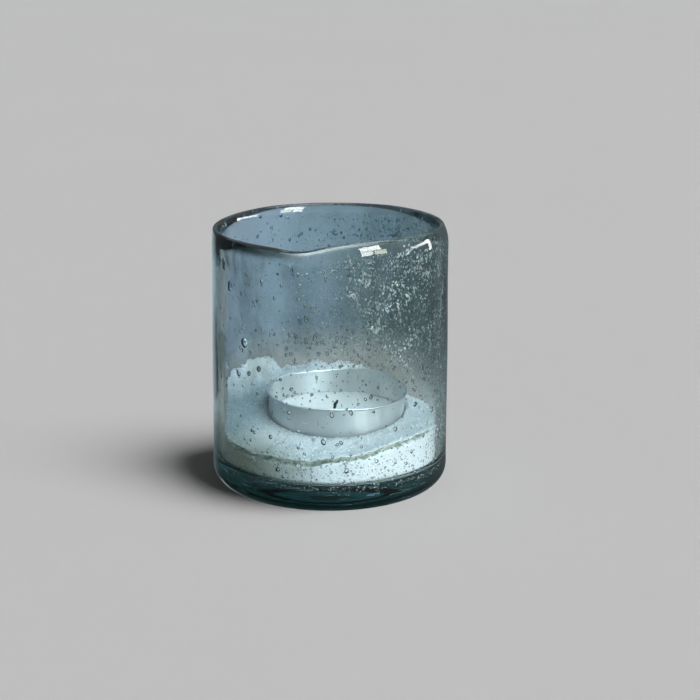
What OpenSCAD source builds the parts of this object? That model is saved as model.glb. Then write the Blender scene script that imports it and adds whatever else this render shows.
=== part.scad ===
// Tea light holder: a heavy hand-blown tumbler of bubbled glass, a bed of white
// salt heaped in it, and a maxi tea light that stands on the glass floor and
// lifts straight out. Millimetres, +Z up. The origin is the middle of the ring
// that the tumbler stands on.

/* [Glass] */
// Outer diameter of the tumbler
glass_d = 97; // [94:1:102]
// Height to the top of the rim
glass_h = 108.5; // [100:0.5:115]
// Wall thickness just above the floor
wall_low = 4.7; // [4:0.1:5.5]
// Wall thickness just below the rim
wall_top = 5.4; // [4:0.1:6]
// Height of the glass floor above the table
floor_z = 11; // [9:0.5:12]
// Radius of the rounded outer corner at the foot
foot_r = 7.5; // [5:0.5:9]
// Radius of the rounded corner between floor and wall inside
inner_r = 2.5; // [2:0.5:4]
// Diameter of the hollow under the foot
punt_d = 52; // [40:1:56]
// Depth of the hollow under the foot
punt_h = 2; // [1:0.5:3]

/* [Tea light cup] */
// Diameter over the rolled rim of the cup
cup_d = 61; // [57:0.5:62]
// Height of the cup
cup_h = 24.8; // [22:0.1:26]
// Thickness of the cup's sheet, drawn thicker than the real foil
cup_t = 0.3; // [0.2:0.05:0.5]
// How much narrower the foot of the cup is than its top, on the radius
cup_draft = 1.3; // [0.5:0.1:2]
// Diameter of the rolled rim's bead
bead_d = 1; // [0.8:0.1:1.4]
// Diameter of the raised middle of the cup's bottom
boss_d = 19; // [16:0.5:24]
// Height of the raised middle of the cup's bottom
boss_h = 1.2; // [0.6:0.1:2]

/* [Candle] */
// Height of the wax above the outside of the cup's bottom
wax_h = 14; // [10:0.5:19]
// Diameter of the braided wick
wick_d = 1.6; // [1.2:0.1:2]
// Length of the straight wick above the wax
wick_up = 2.4; // [2:0.1:5]
// Length of the charred tip that leans over
tip_l = 3.9; // [2:0.1:6]
// Diameter of the charred tip, a little fatter than the wick
tip_d = 1.8; // [1.6:0.1:2.2]
// Lean of the charred tip from upright
tip_lean = 32; // [0:1:60]
// Diameter of the wick sustainer's disc
tab_d = 15; // [12:0.5:17]
// Height of the wick sustainer's neck
neck_h = 4.6; // [3:0.1:6]

/* [Salt bed] */
// Height of the bed's top at the middle of the tumbler
bed_z = 24.8; // [20:0.1:28]
// Rise of the bed's top, in degrees
bed_tilt = 4.5; // [0:0.5:8]
// Direction in which it rises, in degrees from +X towards +Y
bed_dir = 20; // [0:5:60]
// Height of the heap where it meets the wall behind and to the left
heap_z = 43; // [36:0.5:50]
// Slope of that heap, in degrees
heap_slope = 36; // [25:1:40]
// Height of the ridge behind the cup where it meets the wall
ridge_z = 37; // [30:0.5:40]
// Slope of that ridge, in degrees
ridge_slope = 33; // [25:1:40]

/* [Place of the tea light] */
// Offset of the tea light to the right
cup_x = 2.5; // [0:0.5:4]
// Offset of the tea light to the back
cup_y = 8; // [0:0.5:8]

/* [Hidden] */
$fn = 96;

gr = glass_d / 2;             // outer radius of the tumbler
lip_r = wall_top / 2;         // the rim is half round
low_r = gr - wall_low;        // radius of the hollow just above the floor
top_r = gr - wall_top;        // radius of the hollow just below the rim
low_z = floor_z + inner_r;
top_z = glass_h - lip_r;
rest = 0.2;                   // gap under the cup
bed_gap = 0.2;                // gap between salt and glass
pocket_gap = 0.4;             // gap between salt and cup
wax_gap = 0.06;               // gap between wax and cup
cup_z = floor_z + rest;       // height of the cup's foot
cup_top_r = cup_d / 2 - bead_d / 2 - 0.15;   // outside of the cup's wall at the top
cup_low_r = cup_top_r - cup_draft;           // and at the foot
wax_z = cup_z + wax_h;
tab_z = boss_h + cup_t;       // underside of the sustainer above the cup's foot

function slope_r(z) = cup_low_r + (cup_top_r - cup_low_r) * z / cup_h;

// Half section of the space inside the tumbler, held off the glass by g
module hollow_2d(g) {
    r0 = low_r - g;
    f = floor_z + g;
    c = inner_r - g;
    union() {
        translate([0, f]) square([r0 - c, c]);
        intersection() {
            translate([r0 - c, f + c]) circle(r = c);
            translate([r0 - c, f]) square([c, c]);
        }
        polygon([[0, f + c], [r0, f + c], [top_r - g, top_z], [0, top_z]]);
    }
}

// Half section of the glass, in pieces that meet edge to edge
module glass_2d() {
    union() {
        // base
        square([gr - foot_r, foot_r]);
        intersection() {
            translate([gr - foot_r, foot_r]) circle(r = foot_r);
            translate([gr - foot_r, 0]) square([foot_r, foot_r]);
        }
        translate([0, foot_r]) square([gr, floor_z - foot_r]);
        // fillet between floor and wall
        difference() {
            translate([low_r - inner_r, floor_z]) square([gr - low_r + inner_r, inner_r]);
            translate([low_r - inner_r, low_z]) circle(r = inner_r);
        }
        // wall, thinner towards the top
        polygon([[low_r, low_z], [gr, low_z], [gr, top_z], [top_r, top_z]]);
        // half round rim
        intersection() {
            translate([gr - lip_r, top_z]) circle(r = lip_r);
            translate([top_r - 1, top_z]) square([wall_top + 2, lip_r + 1]);
        }
    }
}

module glass_tumbler() {
    sag = (pow(punt_d / 2, 2) + punt_h * punt_h) / (2 * punt_h);
    color([0.56, 0.72, 0.76, 0.45])
    difference() {
        rotate_extrude() glass_2d();
        // hollow under the foot, left by the pontil
        translate([0, 0, punt_h - sag]) sphere(r = sag);
    }
}

// Everything below a plane that passes height z over the point [d, 0] in the
// direction dir and rises that way by slope
module below(z, d, dir, slope) {
    rotate([0, 0, dir]) translate([d, 0, z]) rotate([0, -slope, 0])
        translate([-150, -100, -120]) cube([300, 200, 120]);
}

module salt_bed() {
    color([0.93, 0.95, 0.96])
    difference() {
        intersection() {
            rotate_extrude() hollow_2d(bed_gap);
            union() {
                below(bed_z, 0, bed_dir, bed_tilt);
                below(heap_z, low_r, 150, heap_slope);
                below(ridge_z, low_r, 90, ridge_slope);
            }
        }
        // the pocket that the cup stands in
        translate([cup_x, cup_y, 0]) {
            translate([0, 0, 1]) cylinder(r1 = cup_low_r + pocket_gap, r2 = cup_top_r + pocket_gap, h = cup_z + cup_h - 1 - bead_d * 2);
            translate([0, 0, cup_z + cup_h - bead_d * 2 - 0.01]) cylinder(r = cup_d / 2 + pocket_gap, h = 60);
        }
    }
}

// Half section of the space inside the cup, up to height h over its foot and
// held off the sheet by g
module cup_room_2d(h, g = 0) {
    b = cup_t + g;
    polygon([
        [0, boss_h + b], [boss_d / 2, boss_h + b],
        [boss_d / 2 + boss_h, b], [cup_low_r - b - 1, b],
        [slope_r(1) - b, b + 1],
        [slope_r(h) - b, h], [0, h]]);
}

module tealight_cup() {
    color([0.80, 0.82, 0.84])
    translate([cup_x, cup_y, cup_z])
    rotate_extrude() union() {
        difference() {
            polygon([
                [0, boss_h], [boss_d / 2 - 0.1, boss_h],
                [boss_d / 2 + boss_h - 0.1, 0], [cup_low_r - 1.2, 0],
                [slope_r(1.2), 1.2],
                [cup_top_r, cup_h - bead_d / 2], [0, cup_h - bead_d / 2]]);
            cup_room_2d(cup_h + 1);
        }
        translate([cup_d / 2 - bead_d / 2, cup_h - bead_d / 2]) circle(d = bead_d, $fn = 48);
    }
}

// Half section of the sustainer, grown by g
module tab_2d(g = 0) {
    translate([wick_d / 2 + 0.05, tab_z - g]) square([tab_d / 2 - wick_d / 2 - 0.05 + g, 0.3 + 2 * g]);
    translate([wick_d / 2 + 0.05, tab_z - g]) square([0.35 + g, neck_h + 2 * g]);
}

module wax_2d() {
    m = slope_r(wax_h) - cup_t - wax_gap;
    difference() {
        intersection() {
            cup_room_2d(wax_h + 2, wax_gap);
            // a shallow melted dish, climbing at the wall and at the wick
            polygon([
                [0, 0], [0, wax_h + 0.5], [1.4, wax_h + 0.35], [2.6, wax_h],
                [10, wax_h - 0.35], [20, wax_h - 0.3], [m - 2.2, wax_h],
                [m - 0.6, wax_h + 0.5], [m, wax_h + 1.1], [m + 3, wax_h + 1.1], [m + 3, 0]]);
        }
        tab_2d(wax_gap);
        square([wick_d / 2 + 0.05, wax_h + 5]);
    }
}

module tealight_wax() {
    color([0.96, 0.96, 0.93])
    translate([cup_x, cup_y, cup_z]) rotate_extrude() wax_2d();
}

module wick() {
    z0 = tab_z + 0.05;
    z1 = wax_h + wick_up;
    color([0.12, 0.11, 0.10])
    translate([cup_x, cup_y, cup_z]) union() {
        translate([0, 0, z0]) cylinder(d = wick_d, h = z1 - z0, $fn = 32);
        // charred tip, leaning over and tapering to its end
        translate([0, 0, z1 - 0.7]) rotate([0, tip_lean, -20])
            cylinder(d1 = tip_d + 0.3, d2 = tip_d * 0.6, h = tip_l, $fn = 32);
    }
}

module wick_sustainer() {
    color([0.62, 0.62, 0.60])
    translate([cup_x, cup_y, cup_z]) rotate_extrude() tab_2d();
}

glass_tumbler();
salt_bed();
tealight_cup();
tealight_wax();
wick();
wick_sustainer();
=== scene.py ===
"""Looks of the bubbled glass tea light holder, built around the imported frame.
Lengths in the helper functions are millimetres; meshes are written in metres."""
import math

import bpy
import numpy as np
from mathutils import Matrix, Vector


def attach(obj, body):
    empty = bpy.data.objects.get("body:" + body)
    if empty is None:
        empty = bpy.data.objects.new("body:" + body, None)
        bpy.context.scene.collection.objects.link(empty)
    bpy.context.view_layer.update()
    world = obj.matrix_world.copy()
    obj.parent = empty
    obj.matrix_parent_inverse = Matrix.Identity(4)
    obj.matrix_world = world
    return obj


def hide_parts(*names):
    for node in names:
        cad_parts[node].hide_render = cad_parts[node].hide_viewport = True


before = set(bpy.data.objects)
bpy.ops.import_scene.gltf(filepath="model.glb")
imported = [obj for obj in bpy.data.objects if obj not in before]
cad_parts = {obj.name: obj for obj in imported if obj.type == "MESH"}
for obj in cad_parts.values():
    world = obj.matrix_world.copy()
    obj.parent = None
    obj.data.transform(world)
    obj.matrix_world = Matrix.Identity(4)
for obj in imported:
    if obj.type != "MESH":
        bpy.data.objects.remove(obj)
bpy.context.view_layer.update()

MM = 0.001


# ---------------------------------------------------------------- numbers
GR = 48.4            # outside radius of the tumbler
H0 = 107.0           # height of the undistorted rim
LOW_R = 43.75         # radius of the hollow low down
TOP_R = 42.97        # and just below the rim
EDGE = 1.15          # radius of the rim's very edge
SHOULDER = 15.0      # radius of the outside's curve in towards the rim
FLARE = 12.0         # radius of the hollow's curve out towards the rim
TOP_Z = H0 - 6.24    # where the flare starts
SHOULDER_Z = H0 - 7.5 - 0.5 * EDGE
FLOOR = 11.0
FOOT_R = 7.5
INNER_R = 2.5
LOW_Z = FLOOR + INNER_R
CUP = (2.5, 8.0, 11.2)   # middle of the cup's foot
CUP_H = 24.8
CUP_R = 30.45        # outside radius over the bead
CUP_TOP = 29.8       # outside radius of the cup's wall at the top
CUP_LOW = 28.5       # and at the foot
WAX_H = 14.0


# ---------------------------------------------------------------- noise
def _hash(ix, iy, iz, seed):
    h = (ix.astype(np.int64) * 374761393 + iy.astype(np.int64) * 668265263
         + iz.astype(np.int64) * 2147483647 + np.int64(seed) * 1274126177) & 0xFFFFFFFF
    h = ((h ^ (h >> 13)) * 1274126177) & 0xFFFFFFFF
    h = ((h ^ (h >> 16)) * 2246822519) & 0xFFFFFFFF
    return ((h ^ (h >> 15)) & 0xFFFFFF) / float(0xFFFFFF)


def vnoise(p, seed=0):
    """Value noise from -1 to 1 at the rows of p, with cells of size 1."""
    p = np.asarray(p, float)
    i = np.floor(p)
    f = p - i
    f = f * f * f * (f * (f * 6 - 15) + 10)
    i = i.astype(np.int64)
    out = 0
    for dx in (0, 1):
        for dy in (0, 1):
            for dz in (0, 1):
                w = (f[..., 0] if dx else 1 - f[..., 0]) * (f[..., 1] if dy else 1 - f[..., 1]) * (f[..., 2] if dz else 1 - f[..., 2])
                out = out + w * _hash(i[..., 0] + dx, i[..., 1] + dy, i[..., 2] + dz, seed)
    return out * 2 - 1


def fbm(p, seed=0, octaves=3, gain=0.5):
    p = np.asarray(p, float)
    a, s, t = 1.0, 0.0, 0.0
    for k in range(octaves):
        s = s + a * vnoise(p * (2.0 ** k) + 17.3 * k, seed + k)
        t += a
        a *= gain
    return s / t


def ring_table(pairs):
    """A smooth closed curve through (degrees, value) pairs."""
    a = np.array([p[0] for p in pairs], float)
    v = np.array([p[1] for p in pairs], float)
    n = len(a)

    def f(deg):
        d = np.mod(np.asarray(deg, float), 360.0)
        k = np.searchsorted(a, d, side="right") - 1
        k = np.mod(k, n)
        a0, a1 = a[k], a[np.mod(k + 1, n)]
        a1 = np.where(a1 <= a0, a1 + 360, a1)
        dd = np.where(d < a0, d + 360, d)
        t = np.clip((dd - a0) / (a1 - a0), 0, 1)
        p0, p1, p2, p3 = v[np.mod(k - 1, n)], v[k], v[np.mod(k + 1, n)], v[np.mod(k + 2, n)]
        return 0.5 * (2 * p1 + (p2 - p0) * t + (2 * p0 - 5 * p1 + 4 * p2 - p3) * t * t + (3 * p1 - p0 - 3 * p2 + p3) * t ** 3)
    return f


def smooth(t):
    t = np.clip(t, 0, 1)
    return t * t * (3 - 2 * t)


def mesh_object(name, verts_mm, faces, mats, smooth_faces=True, mat_index=None):
    me = bpy.data.meshes.new(name)
    me.from_pydata((np.asarray(verts_mm) * MM).tolist(), [], faces)
    me.polygons.foreach_set("use_smooth", [smooth_faces] * len(me.polygons))
    ob = bpy.data.objects.new(name, me)
    bpy.context.scene.collection.objects.link(ob)
    for m in mats:
        me.materials.append(m)
    if mat_index is not None:
        me.polygons.foreach_set("material_index", mat_index)
    me.update()
    return ob


# ---------------------------------------------------------------- the glass
rim_z = ring_table([(0, 107.4), (35, 107.3), (55, 107.3), (74, 107.0), (90, 106.9), (106, 106.8), (123, 106.8),
                    (144, 106.4), (170, 106.0), (195, 105.9), (215, 105.9), (232, 105.7), (243, 105.3), (251, 104.6),
                    (258, 104.8), (265, 106.0), (272, 107.1), (280, 107.8), (288, 108.2), (300, 108.3), (322, 108.1), (347, 107.5)])


def outer_dent(phi, z):
    """How far the outside lies inside the true cylinder: soft, uneven hand work."""
    p = np.stack([GR * np.cos(phi) / 26, GR * np.sin(phi) / 26, z / 44], -1)
    q = np.stack([GR * np.cos(phi) / 9, GR * np.sin(phi) / 9, z / 16], -1)
    return 0.24 + 0.20 * vnoise(p, 3) + 0.035 * vnoise(q, 5) + 0.55 * smooth((z - 50) / 40)


def inner_dent(phi, z):
    """How far the hollow's wall strays from its cone."""
    p = np.stack([GR * np.cos(phi) / 17, GR * np.sin(phi) / 17, z / 42], -1)
    q = np.stack([GR * np.cos(phi) / 7, GR * np.sin(phi) / 7, z / 17], -1)
    return 0.34 * vnoise(p, 11) + 0.07 * vnoise(q, 12)


shoulder_k = ring_table([(0, 0.9), (25, 0.95), (60, 1.0), (110, 0.95), (150, 0.7), (175, 0.3), (215, 0.3), (240, 0.7), (262, 1.0), (305, 1.0), (335, 0.95)])
SHOULDER_IN = SHOULDER * (1 - math.cos(math.radians(30)))


def r_out(phi, z):
    return GR - outer_dent(phi, z) * smooth(z / 20)


def r_in(phi, z):
    t = np.clip((z - LOW_Z) / (TOP_Z - LOW_Z), 0, 1)
    return LOW_R + (TOP_R - LOW_R) * t + inner_dent(phi, z) * smooth((z - 30) / 18) * smooth((TOP_Z + 4 - z) / 10)


def arc(cx, cz, r, a0, a1, n):
    a = np.radians(np.linspace(a0, a1, n + 1))
    return [(cx + r * math.cos(t), cz + r * math.sin(t)) for t in a]


def glass_profile():
    """(radius, height, side) from under the foot, up the outside, over the rim and down to the floor. side: 0 foot, 1 outside, 2 rim, 3 hollow, 4 floor."""
    pts = []
    sag = (26.0 ** 2 + 2.0 ** 2) / (2 * 2.0)
    for r in (4, 9, 14, 19, 23, 25.4):
        pts.append((r, 2.0 - sag + math.sqrt(sag * sag - r * r), 0))
    pts += [(27.5, 0.10, 0), (30, 0.06, 0), (34, 0.05, 0), (38, 0.06, 0)]
    pts += [(r, max(z, 0.08), 1) for r, z in arc(GR - FOOT_R, FOOT_R, FOOT_R, -84, 0, 14)]
    zs = FOOT_R + (SHOULDER_Z - FOOT_R) * np.linspace(0, 1, 43)[1:]
    pts += [(GR, z, 1) for z in zs]
    pts += [(r, z, 1) for r, z in arc(GR - SHOULDER, SHOULDER_Z, SHOULDER, 0, 30, 8)[1:]]
    cr, cz = pts[-1][0] - EDGE * math.cos(math.radians(30)), pts[-1][1] - EDGE * math.sin(math.radians(30))
    pts += [(r, z, 2) for r, z in arc(cr, cz, EDGE, 30, 152, 10)[1:]]
    r0, z0 = pts[-1][0] - FLARE * math.cos(math.radians(152)), pts[-1][1] - FLARE * math.sin(math.radians(152))
    pts += [(r, z, 3) for r, z in arc(r0, z0, FLARE, 152, 180, 7)[1:]]
    zs = z0 - (z0 - LOW_Z) * np.linspace(0, 1, 41)[1:]
    pts += [(LOW_R + (TOP_R - LOW_R) * (z - LOW_Z) / (TOP_Z - LOW_Z), z, 3) for z in zs]
    pts += [(r, z, 4) for r, z in arc(LOW_R - INNER_R, LOW_Z, INNER_R, 0, -90, 10)[1:]]
    pts += [(r, FLOOR, 4) for r in (30, 24, 17, 10, 4)]
    return pts


def glass_shell(nphi):
    prof = glass_profile()
    phi = np.linspace(0, 2 * np.pi, nphi, endpoint=False)
    rise = rim_z(np.degrees(phi)) - H0
    rings = []
    for r, z, side in prof:
        zz = np.full(nphi, float(z))
        if side in (1, 2, 3):
            up = smooth((z - 50) / (TOP_Z - 50)) if z > 50 else 0.0
            zz = zz + rise * up
        # the shoulder is rounder in front than at the sides
        less = 1 - shoulder_k(np.degrees(phi))
        if side in (1, 2):
            rr = r - outer_dent(phi, zz) * smooth(z / 20) + (less * (GR - r) if side == 1 and z > SHOULDER_Z else less * SHOULDER_IN if side == 2 else 0)
        elif side == 3:
            rr = r - outer_dent(phi, zz) * smooth((z - TOP_Z + 4) / 10) + (r_in(phi, zz) - (LOW_R + (TOP_R - LOW_R) * np.clip((zz - LOW_Z) / (TOP_Z - LOW_Z), 0, 1)))
            rr = rr + less * SHOULDER_IN * smooth((z - TOP_Z + 8) / (H0 - TOP_Z + 7))
        else:
            rr = np.full(nphi, float(r))
        rings.append(np.stack([rr * np.cos(phi), rr * np.sin(phi), zz], -1))
    v = np.concatenate(rings)
    n = len(prof)
    faces = []
    for j in range(n - 1):
        a, b = j * nphi, (j + 1) * nphi
        for i in range(nphi):
            k = (i + 1) % nphi
            faces.append((a + i, a + k, b + k, b + i))
    bottom, top = len(v), len(v) + 1
    v = np.concatenate([v, [[0, 0, 2.0], [0, 0, FLOOR]]])
    for i in range(nphi):
        k = (i + 1) % nphi
        faces.append((bottom, k, i))
        faces.append((top, (n - 1) * nphi + i, (n - 1) * nphi + k))
    return v, faces


def sphere_template(kind):
    """Vertices and faces of a small ball, wound so that its normals point inwards."""
    if kind <= 0:
        v = [(1, 0, 0), (-1, 0, 0), (0, 1, 0), (0, -1, 0), (0, 0, 1), (0, 0, -1)]
        f = [(0, 2, 4), (2, 1, 4), (1, 3, 4), (3, 0, 4), (2, 0, 5), (1, 2, 5), (3, 1, 5), (0, 3, 5)]
        levels = 1 + kind
    else:
        t = (1 + 5 ** 0.5) / 2
        v = [(-1, t, 0), (1, t, 0), (-1, -t, 0), (1, -t, 0), (0, -1, t), (0, 1, t), (0, -1, -t), (0, 1, -t), (t, 0, -1), (t, 0, 1), (-t, 0, -1), (-t, 0, 1)]
        f = [(0, 11, 5), (0, 5, 1), (0, 1, 7), (0, 7, 10), (0, 10, 11), (1, 5, 9), (5, 11, 4), (11, 10, 2), (10, 7, 6), (7, 1, 8),
             (3, 9, 4), (3, 4, 2), (3, 2, 6), (3, 6, 8), (3, 8, 9), (4, 9, 5), (2, 4, 11), (6, 2, 10), (8, 6, 7), (9, 8, 1)]
        levels = kind
    v = [np.array(p, float) / np.linalg.norm(p) for p in v]
    for _ in range(levels):
        cut, g = {}, []
        for a, b, c in f:
            m = []
            for p, q in ((a, b), (b, c), (c, a)):
                key = (min(p, q), max(p, q))
                if key not in cut:
                    w = v[p] + v[q]
                    cut[key] = len(v)
                    v.append(w / np.linalg.norm(w))
                m.append(cut[key])
            g += [(a, m[0], m[2]), (m[0], b, m[1]), (m[2], m[1], c), (m[0], m[1], m[2])]
        f = g
    return np.array(v), [(a, c, b) for a, b, c in f]


def scatter_bubbles():
    """Rows of (phi, z, radial place 0..1, radial size, sideways size, upright size, turn) in radians and mm."""
    rng = np.random.RandomState(41)
    rows = []

    def add(phi_deg, z, size, long=1.0, flat=0.75, turn=0.0, depth=None):
        rows.append((math.radians(phi_deg), z, rng.uniform(0.15, 0.85) if depth is None else depth,
                     size * flat, size, size * long, turn))

    def size_of(lo, hi, power=2.2):
        return lo + (hi - lo) * rng.uniform() ** power

    # clusters: (centre angle, centre height, spread in degrees, spread in mm, count, smallest, largest radius)
    clusters = [
        (298, 90, 13, 11, 300, 0.14, 0.62),
        (310, 99, 14, 6, 160, 0.14, 0.6),
        (322, 84, 15, 16, 260, 0.13, 0.55),
        (285, 96, 8, 6, 90, 0.14, 0.6),
        (295, 72, 14, 10, 170, 0.14, 0.6),
        (326, 62, 12, 11, 170, 0.14, 0.6),
        (252, 78, 8, 10, 40, 0.18, 0.7),
        (262, 66, 14, 9, 60, 0.18, 0.7),
        (340, 96, 12, 10, 120, 0.14, 0.55),
        (345, 45, 12, 18, 90, 0.16, 0.6),
        (281, 82, 9, 12, 110, 0.16, 0.5),
        (270, 70, 9, 6, 50, 0.20, 0.6),
    ]
    for pa, pz, sa, sz, n, lo, hi in clusters:
        for _ in range(n):
            a, z = rng.normal(pa, sa), rng.normal(pz, sz)
            if 14 < z < 103:
                s = size_of(lo, hi, 2.6)
                add(a, z, s, long=rng.uniform(0.9, 1.7), turn=rng.normal(0, 0.35))
    # the lower front: clear separate bubbles against the white bed
    for _ in range(135):
        a, z = rng.uniform(188, 352), rng.uniform(11, 52)
        add(a, z, size_of(0.26, 0.72, 1.8), long=rng.uniform(0.9, 1.5), turn=rng.normal(0, 0.5))
    for _ in range(220):
        a, z = rng.uniform(188, 352), 10 + 50 * rng.uniform() ** 1.5
        add(a, z, size_of(0.14, 0.36), long=rng.uniform(0.9, 1.9), turn=rng.normal(0, 0.6))
    for _ in range(160):
        a, z = rng.normal(282, 24), rng.uniform(11, 22)
        add(a, z, size_of(0.16, 0.45, 1.8), long=rng.uniform(0.7, 1.4), turn=rng.normal(0, 0.6))
    for _ in range(380):
        a, z = rng.uniform(228, 350), rng.uniform(11.5, 25)
        add(a, z, size_of(0.18, 0.42, 1.3), long=rng.uniform(0.6, 1.3), turn=rng.normal(0, 0.6))
    # a line of small bubbles where the wall grows out of the base
    for _ in range(430):
        a = rng.uniform(200, 348)
        add(a, rng.normal(10.6, 0.9), size_of(0.18, 0.6, 1.5), long=rng.uniform(0.7, 1.3), turn=rng.normal(0, 0.5), depth=rng.uniform(0.80, 0.98))
    # the upper left front: few
    for _ in range(210):
        a, z = rng.uniform(190, 290), rng.uniform(46, 103)
        add(a, z, size_of(0.15, 0.6, 2.4), long=rng.uniform(1.0, 1.8), turn=rng.normal(0, 0.3))
    # the back: even and loose
    for _ in range(420):
        a, z = rng.uniform(0, 180), rng.uniform(10, 103)
        add(a, z, size_of(0.18, 0.75, 2.4), long=rng.uniform(0.9, 1.6), turn=rng.normal(0, 0.4))
    for _ in range(330):
        a, z = rng.normal(48, 24), rng.normal(95, 7)
        if z < 103:
            add(a, z, size_of(0.18, 0.6, 2.0), long=rng.uniform(0.8, 1.6), turn=rng.normal(0, 0.5))
    for _ in range(200):
        a, z = rng.normal(345, 8), rng.uniform(13, 50)
        add(a, z, size_of(0.16, 0.5, 1.8), long=rng.uniform(0.9, 1.6), turn=rng.normal(0, 0.5))
    # single large ones
    for a, z, s, long, turn in [(208, 95, 1.1, 2.4, 0.12), (213, 87, 1.2, 1.9, -0.1), (224, 66, 1.5, 1.25, 0.2), (259, 79, 0.9, 1.7, 0.1),
                                (254, 72, 0.85, 1.8, 0.3), (263, 72, 0.8, 2.2, -0.3), (243, 86, 0.7, 1.3, 0.0), (236, 92, 0.75, 1.2, 0.0),
                                (220, 53, 1.15, 1.2, 0.3), (227, 54, 0.95, 1.0, 0.0), (234, 57, 1.05, 1.2, -0.4), (267, 30, 1.25, 1.35, 0.1),
                                (278, 18, 1.2, 1.3, 0.0), (244, 17, 1.3, 0.9, 0.0), (271, 41, 1.15, 1.35, 0.1), (280, 42, 1.05, 1.4, 0.2),
                                (316, 41, 1.2, 1.15, 0.0), (330, 36, 1.2, 1.2, 0.0), (303, 33, 1.0, 1.5, -0.2), (293, 21, 1.1, 1.1, 0.0),
                                (313, 22, 1.0, 1.2, 0.3), (240, 30, 1.0, 1.2, 0.2), (229, 31, 0.95, 1.1, 0.0), (250, 41, 0.9, 1.1, 0.0),
                                (258, 25, 0.9, 1.0, 0.0), (285, 28, 0.8, 1.1, 0.0), (322, 27, 1.1, 1.2, 0.0), (336, 24, 1.0, 1.2, 0.0)]:
        add(a, z, s * (0.78 if z < 50 else 1.0), long=long, turn=turn)
    # thin drawn-out bubbles in the base, along the foot
    for _ in range(26):
        a, z = (rng.uniform(196, 238), rng.uniform(3.0, 9.5)) if rng.uniform() < 0.6 else (rng.uniform(240, 345), rng.uniform(3.0, 8.5))
        s = rng.uniform(1.2, 3.6)
        rows.append((math.radians(a), z, rng.uniform(0.90, 0.97), 0.12, s, rng.uniform(0.10, 0.20), rng.normal(0.0, 0.06)))
    # two drawn-out streaks of froth at the right
    for a0, z0, a1, z1, n in [(330, 72, 343, 84, 60), (336, 58, 330, 66, 30)]:
        for _ in range(n):
            t = rng.uniform() ** 1.5
            w = 1.8 * (1 - t) + 0.5
            add(a0 + (a1 - a0) * t + rng.normal(0, w), z0 + (z1 - z0) * t + rng.normal(0, w * 0.8), size_of(0.15, 0.55, 1.8))
    return np.array(rows)


def wall_room(phi, z, margin):
    """Inner and outer limits of what may sit inside the wall at each place."""
    zi = np.clip(z, LOW_Z, TOP_Z)
    ro, ri = r_out(phi, z), r_in(phi, zi)
    foot = np.where(z < FOOT_R, GR - FOOT_R + np.sqrt(np.maximum(FOOT_R ** 2 - (FOOT_R - np.clip(z, 0, FOOT_R)) ** 2, 0)), ro)
    ro = np.minimum(ro, foot)
    over = np.maximum(0, z - (rim_z(np.degrees(phi)) - 8.5))
    ro = ro - over * over / 30 * 1.15 * shoulder_k(np.degrees(phi))
    ri = ri + np.maximum(0, over - 1.5) ** 2 / 24 * 1.15
    return ri + margin, ro - margin


def place_balls(rows, templates, kinds, lump_size):
    """Meshes of small balls set in the wall."""
    phi, z, place, sr, ss, sz, turn = rows.T
    top = rim_z(np.degrees(phi)) - 2.4
    sz = np.minimum(sz, np.maximum(0.1, top - z))
    z = np.maximum(z, sz + 1.2)
    lo1, hi1 = wall_room(phi, z - sz, 0.25)
    lo2, hi2 = wall_room(phi, z + sz, 0.25)
    lo, hi = np.maximum(lo1, lo2), np.minimum(hi1, hi2)
    keep = hi - lo > 0.3
    phi, z, place, sr, ss, sz, turn, lo, hi, kinds = [q[keep] for q in (phi, z, place, sr, ss, sz, turn, lo, hi, kinds)]
    sr = np.minimum(sr, (hi - lo) * 0.42)
    rc = lo + sr + (hi - lo - 2 * sr) * place
    verts, faces, base = [], [], 0
    for kind, (tv, tf) in templates.items():
        pick = np.where(kinds == kind)[0]
        if not len(pick):
            continue
        p, c, w = phi[pick], np.cos(turn[pick]), np.sin(turn[pick])
        x = tv[None, :, 0] * sr[pick, None]
        a = tv[None, :, 1] * ss[pick, None]
        b = tv[None, :, 2] * sz[pick, None]
        lump = 1 + lump_size * vnoise(tv[None] * 1.1 + pick[:, None, None] * 3.7, 8)
        x, a, b = x * lump, a * lump, b * lump
        t = a * c[:, None] - b * w[:, None]
        u = a * w[:, None] + b * c[:, None]
        rad = rc[pick, None] + x
        # bend with the wall, so that long ones stay inside it
        ang = p[:, None] + t / rc[pick, None]
        v = np.stack([rad * np.cos(ang), rad * np.sin(ang), z[pick, None] + u], -1).reshape(-1, 3)
        f = np.array(tf)[None] + (np.arange(len(pick)) * len(tv))[:, None, None] + base
        verts.append(v)
        faces.append(f.reshape(-1, 3))
        base += len(v)
    return np.concatenate(verts), np.concatenate(faces)


def bubble_mesh():
    rows = scatter_bubbles()
    big = np.maximum(rows[:, 4], rows[:, 5])
    kinds = np.where(big < 0.30, -1, np.where(big < 0.52, 0, np.where(big < 1.05, 1, 2)))
    return place_balls(rows, {k: sphere_template(k) for k in (-1, 0, 1, 2)}, kinds, 0.20)


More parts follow.
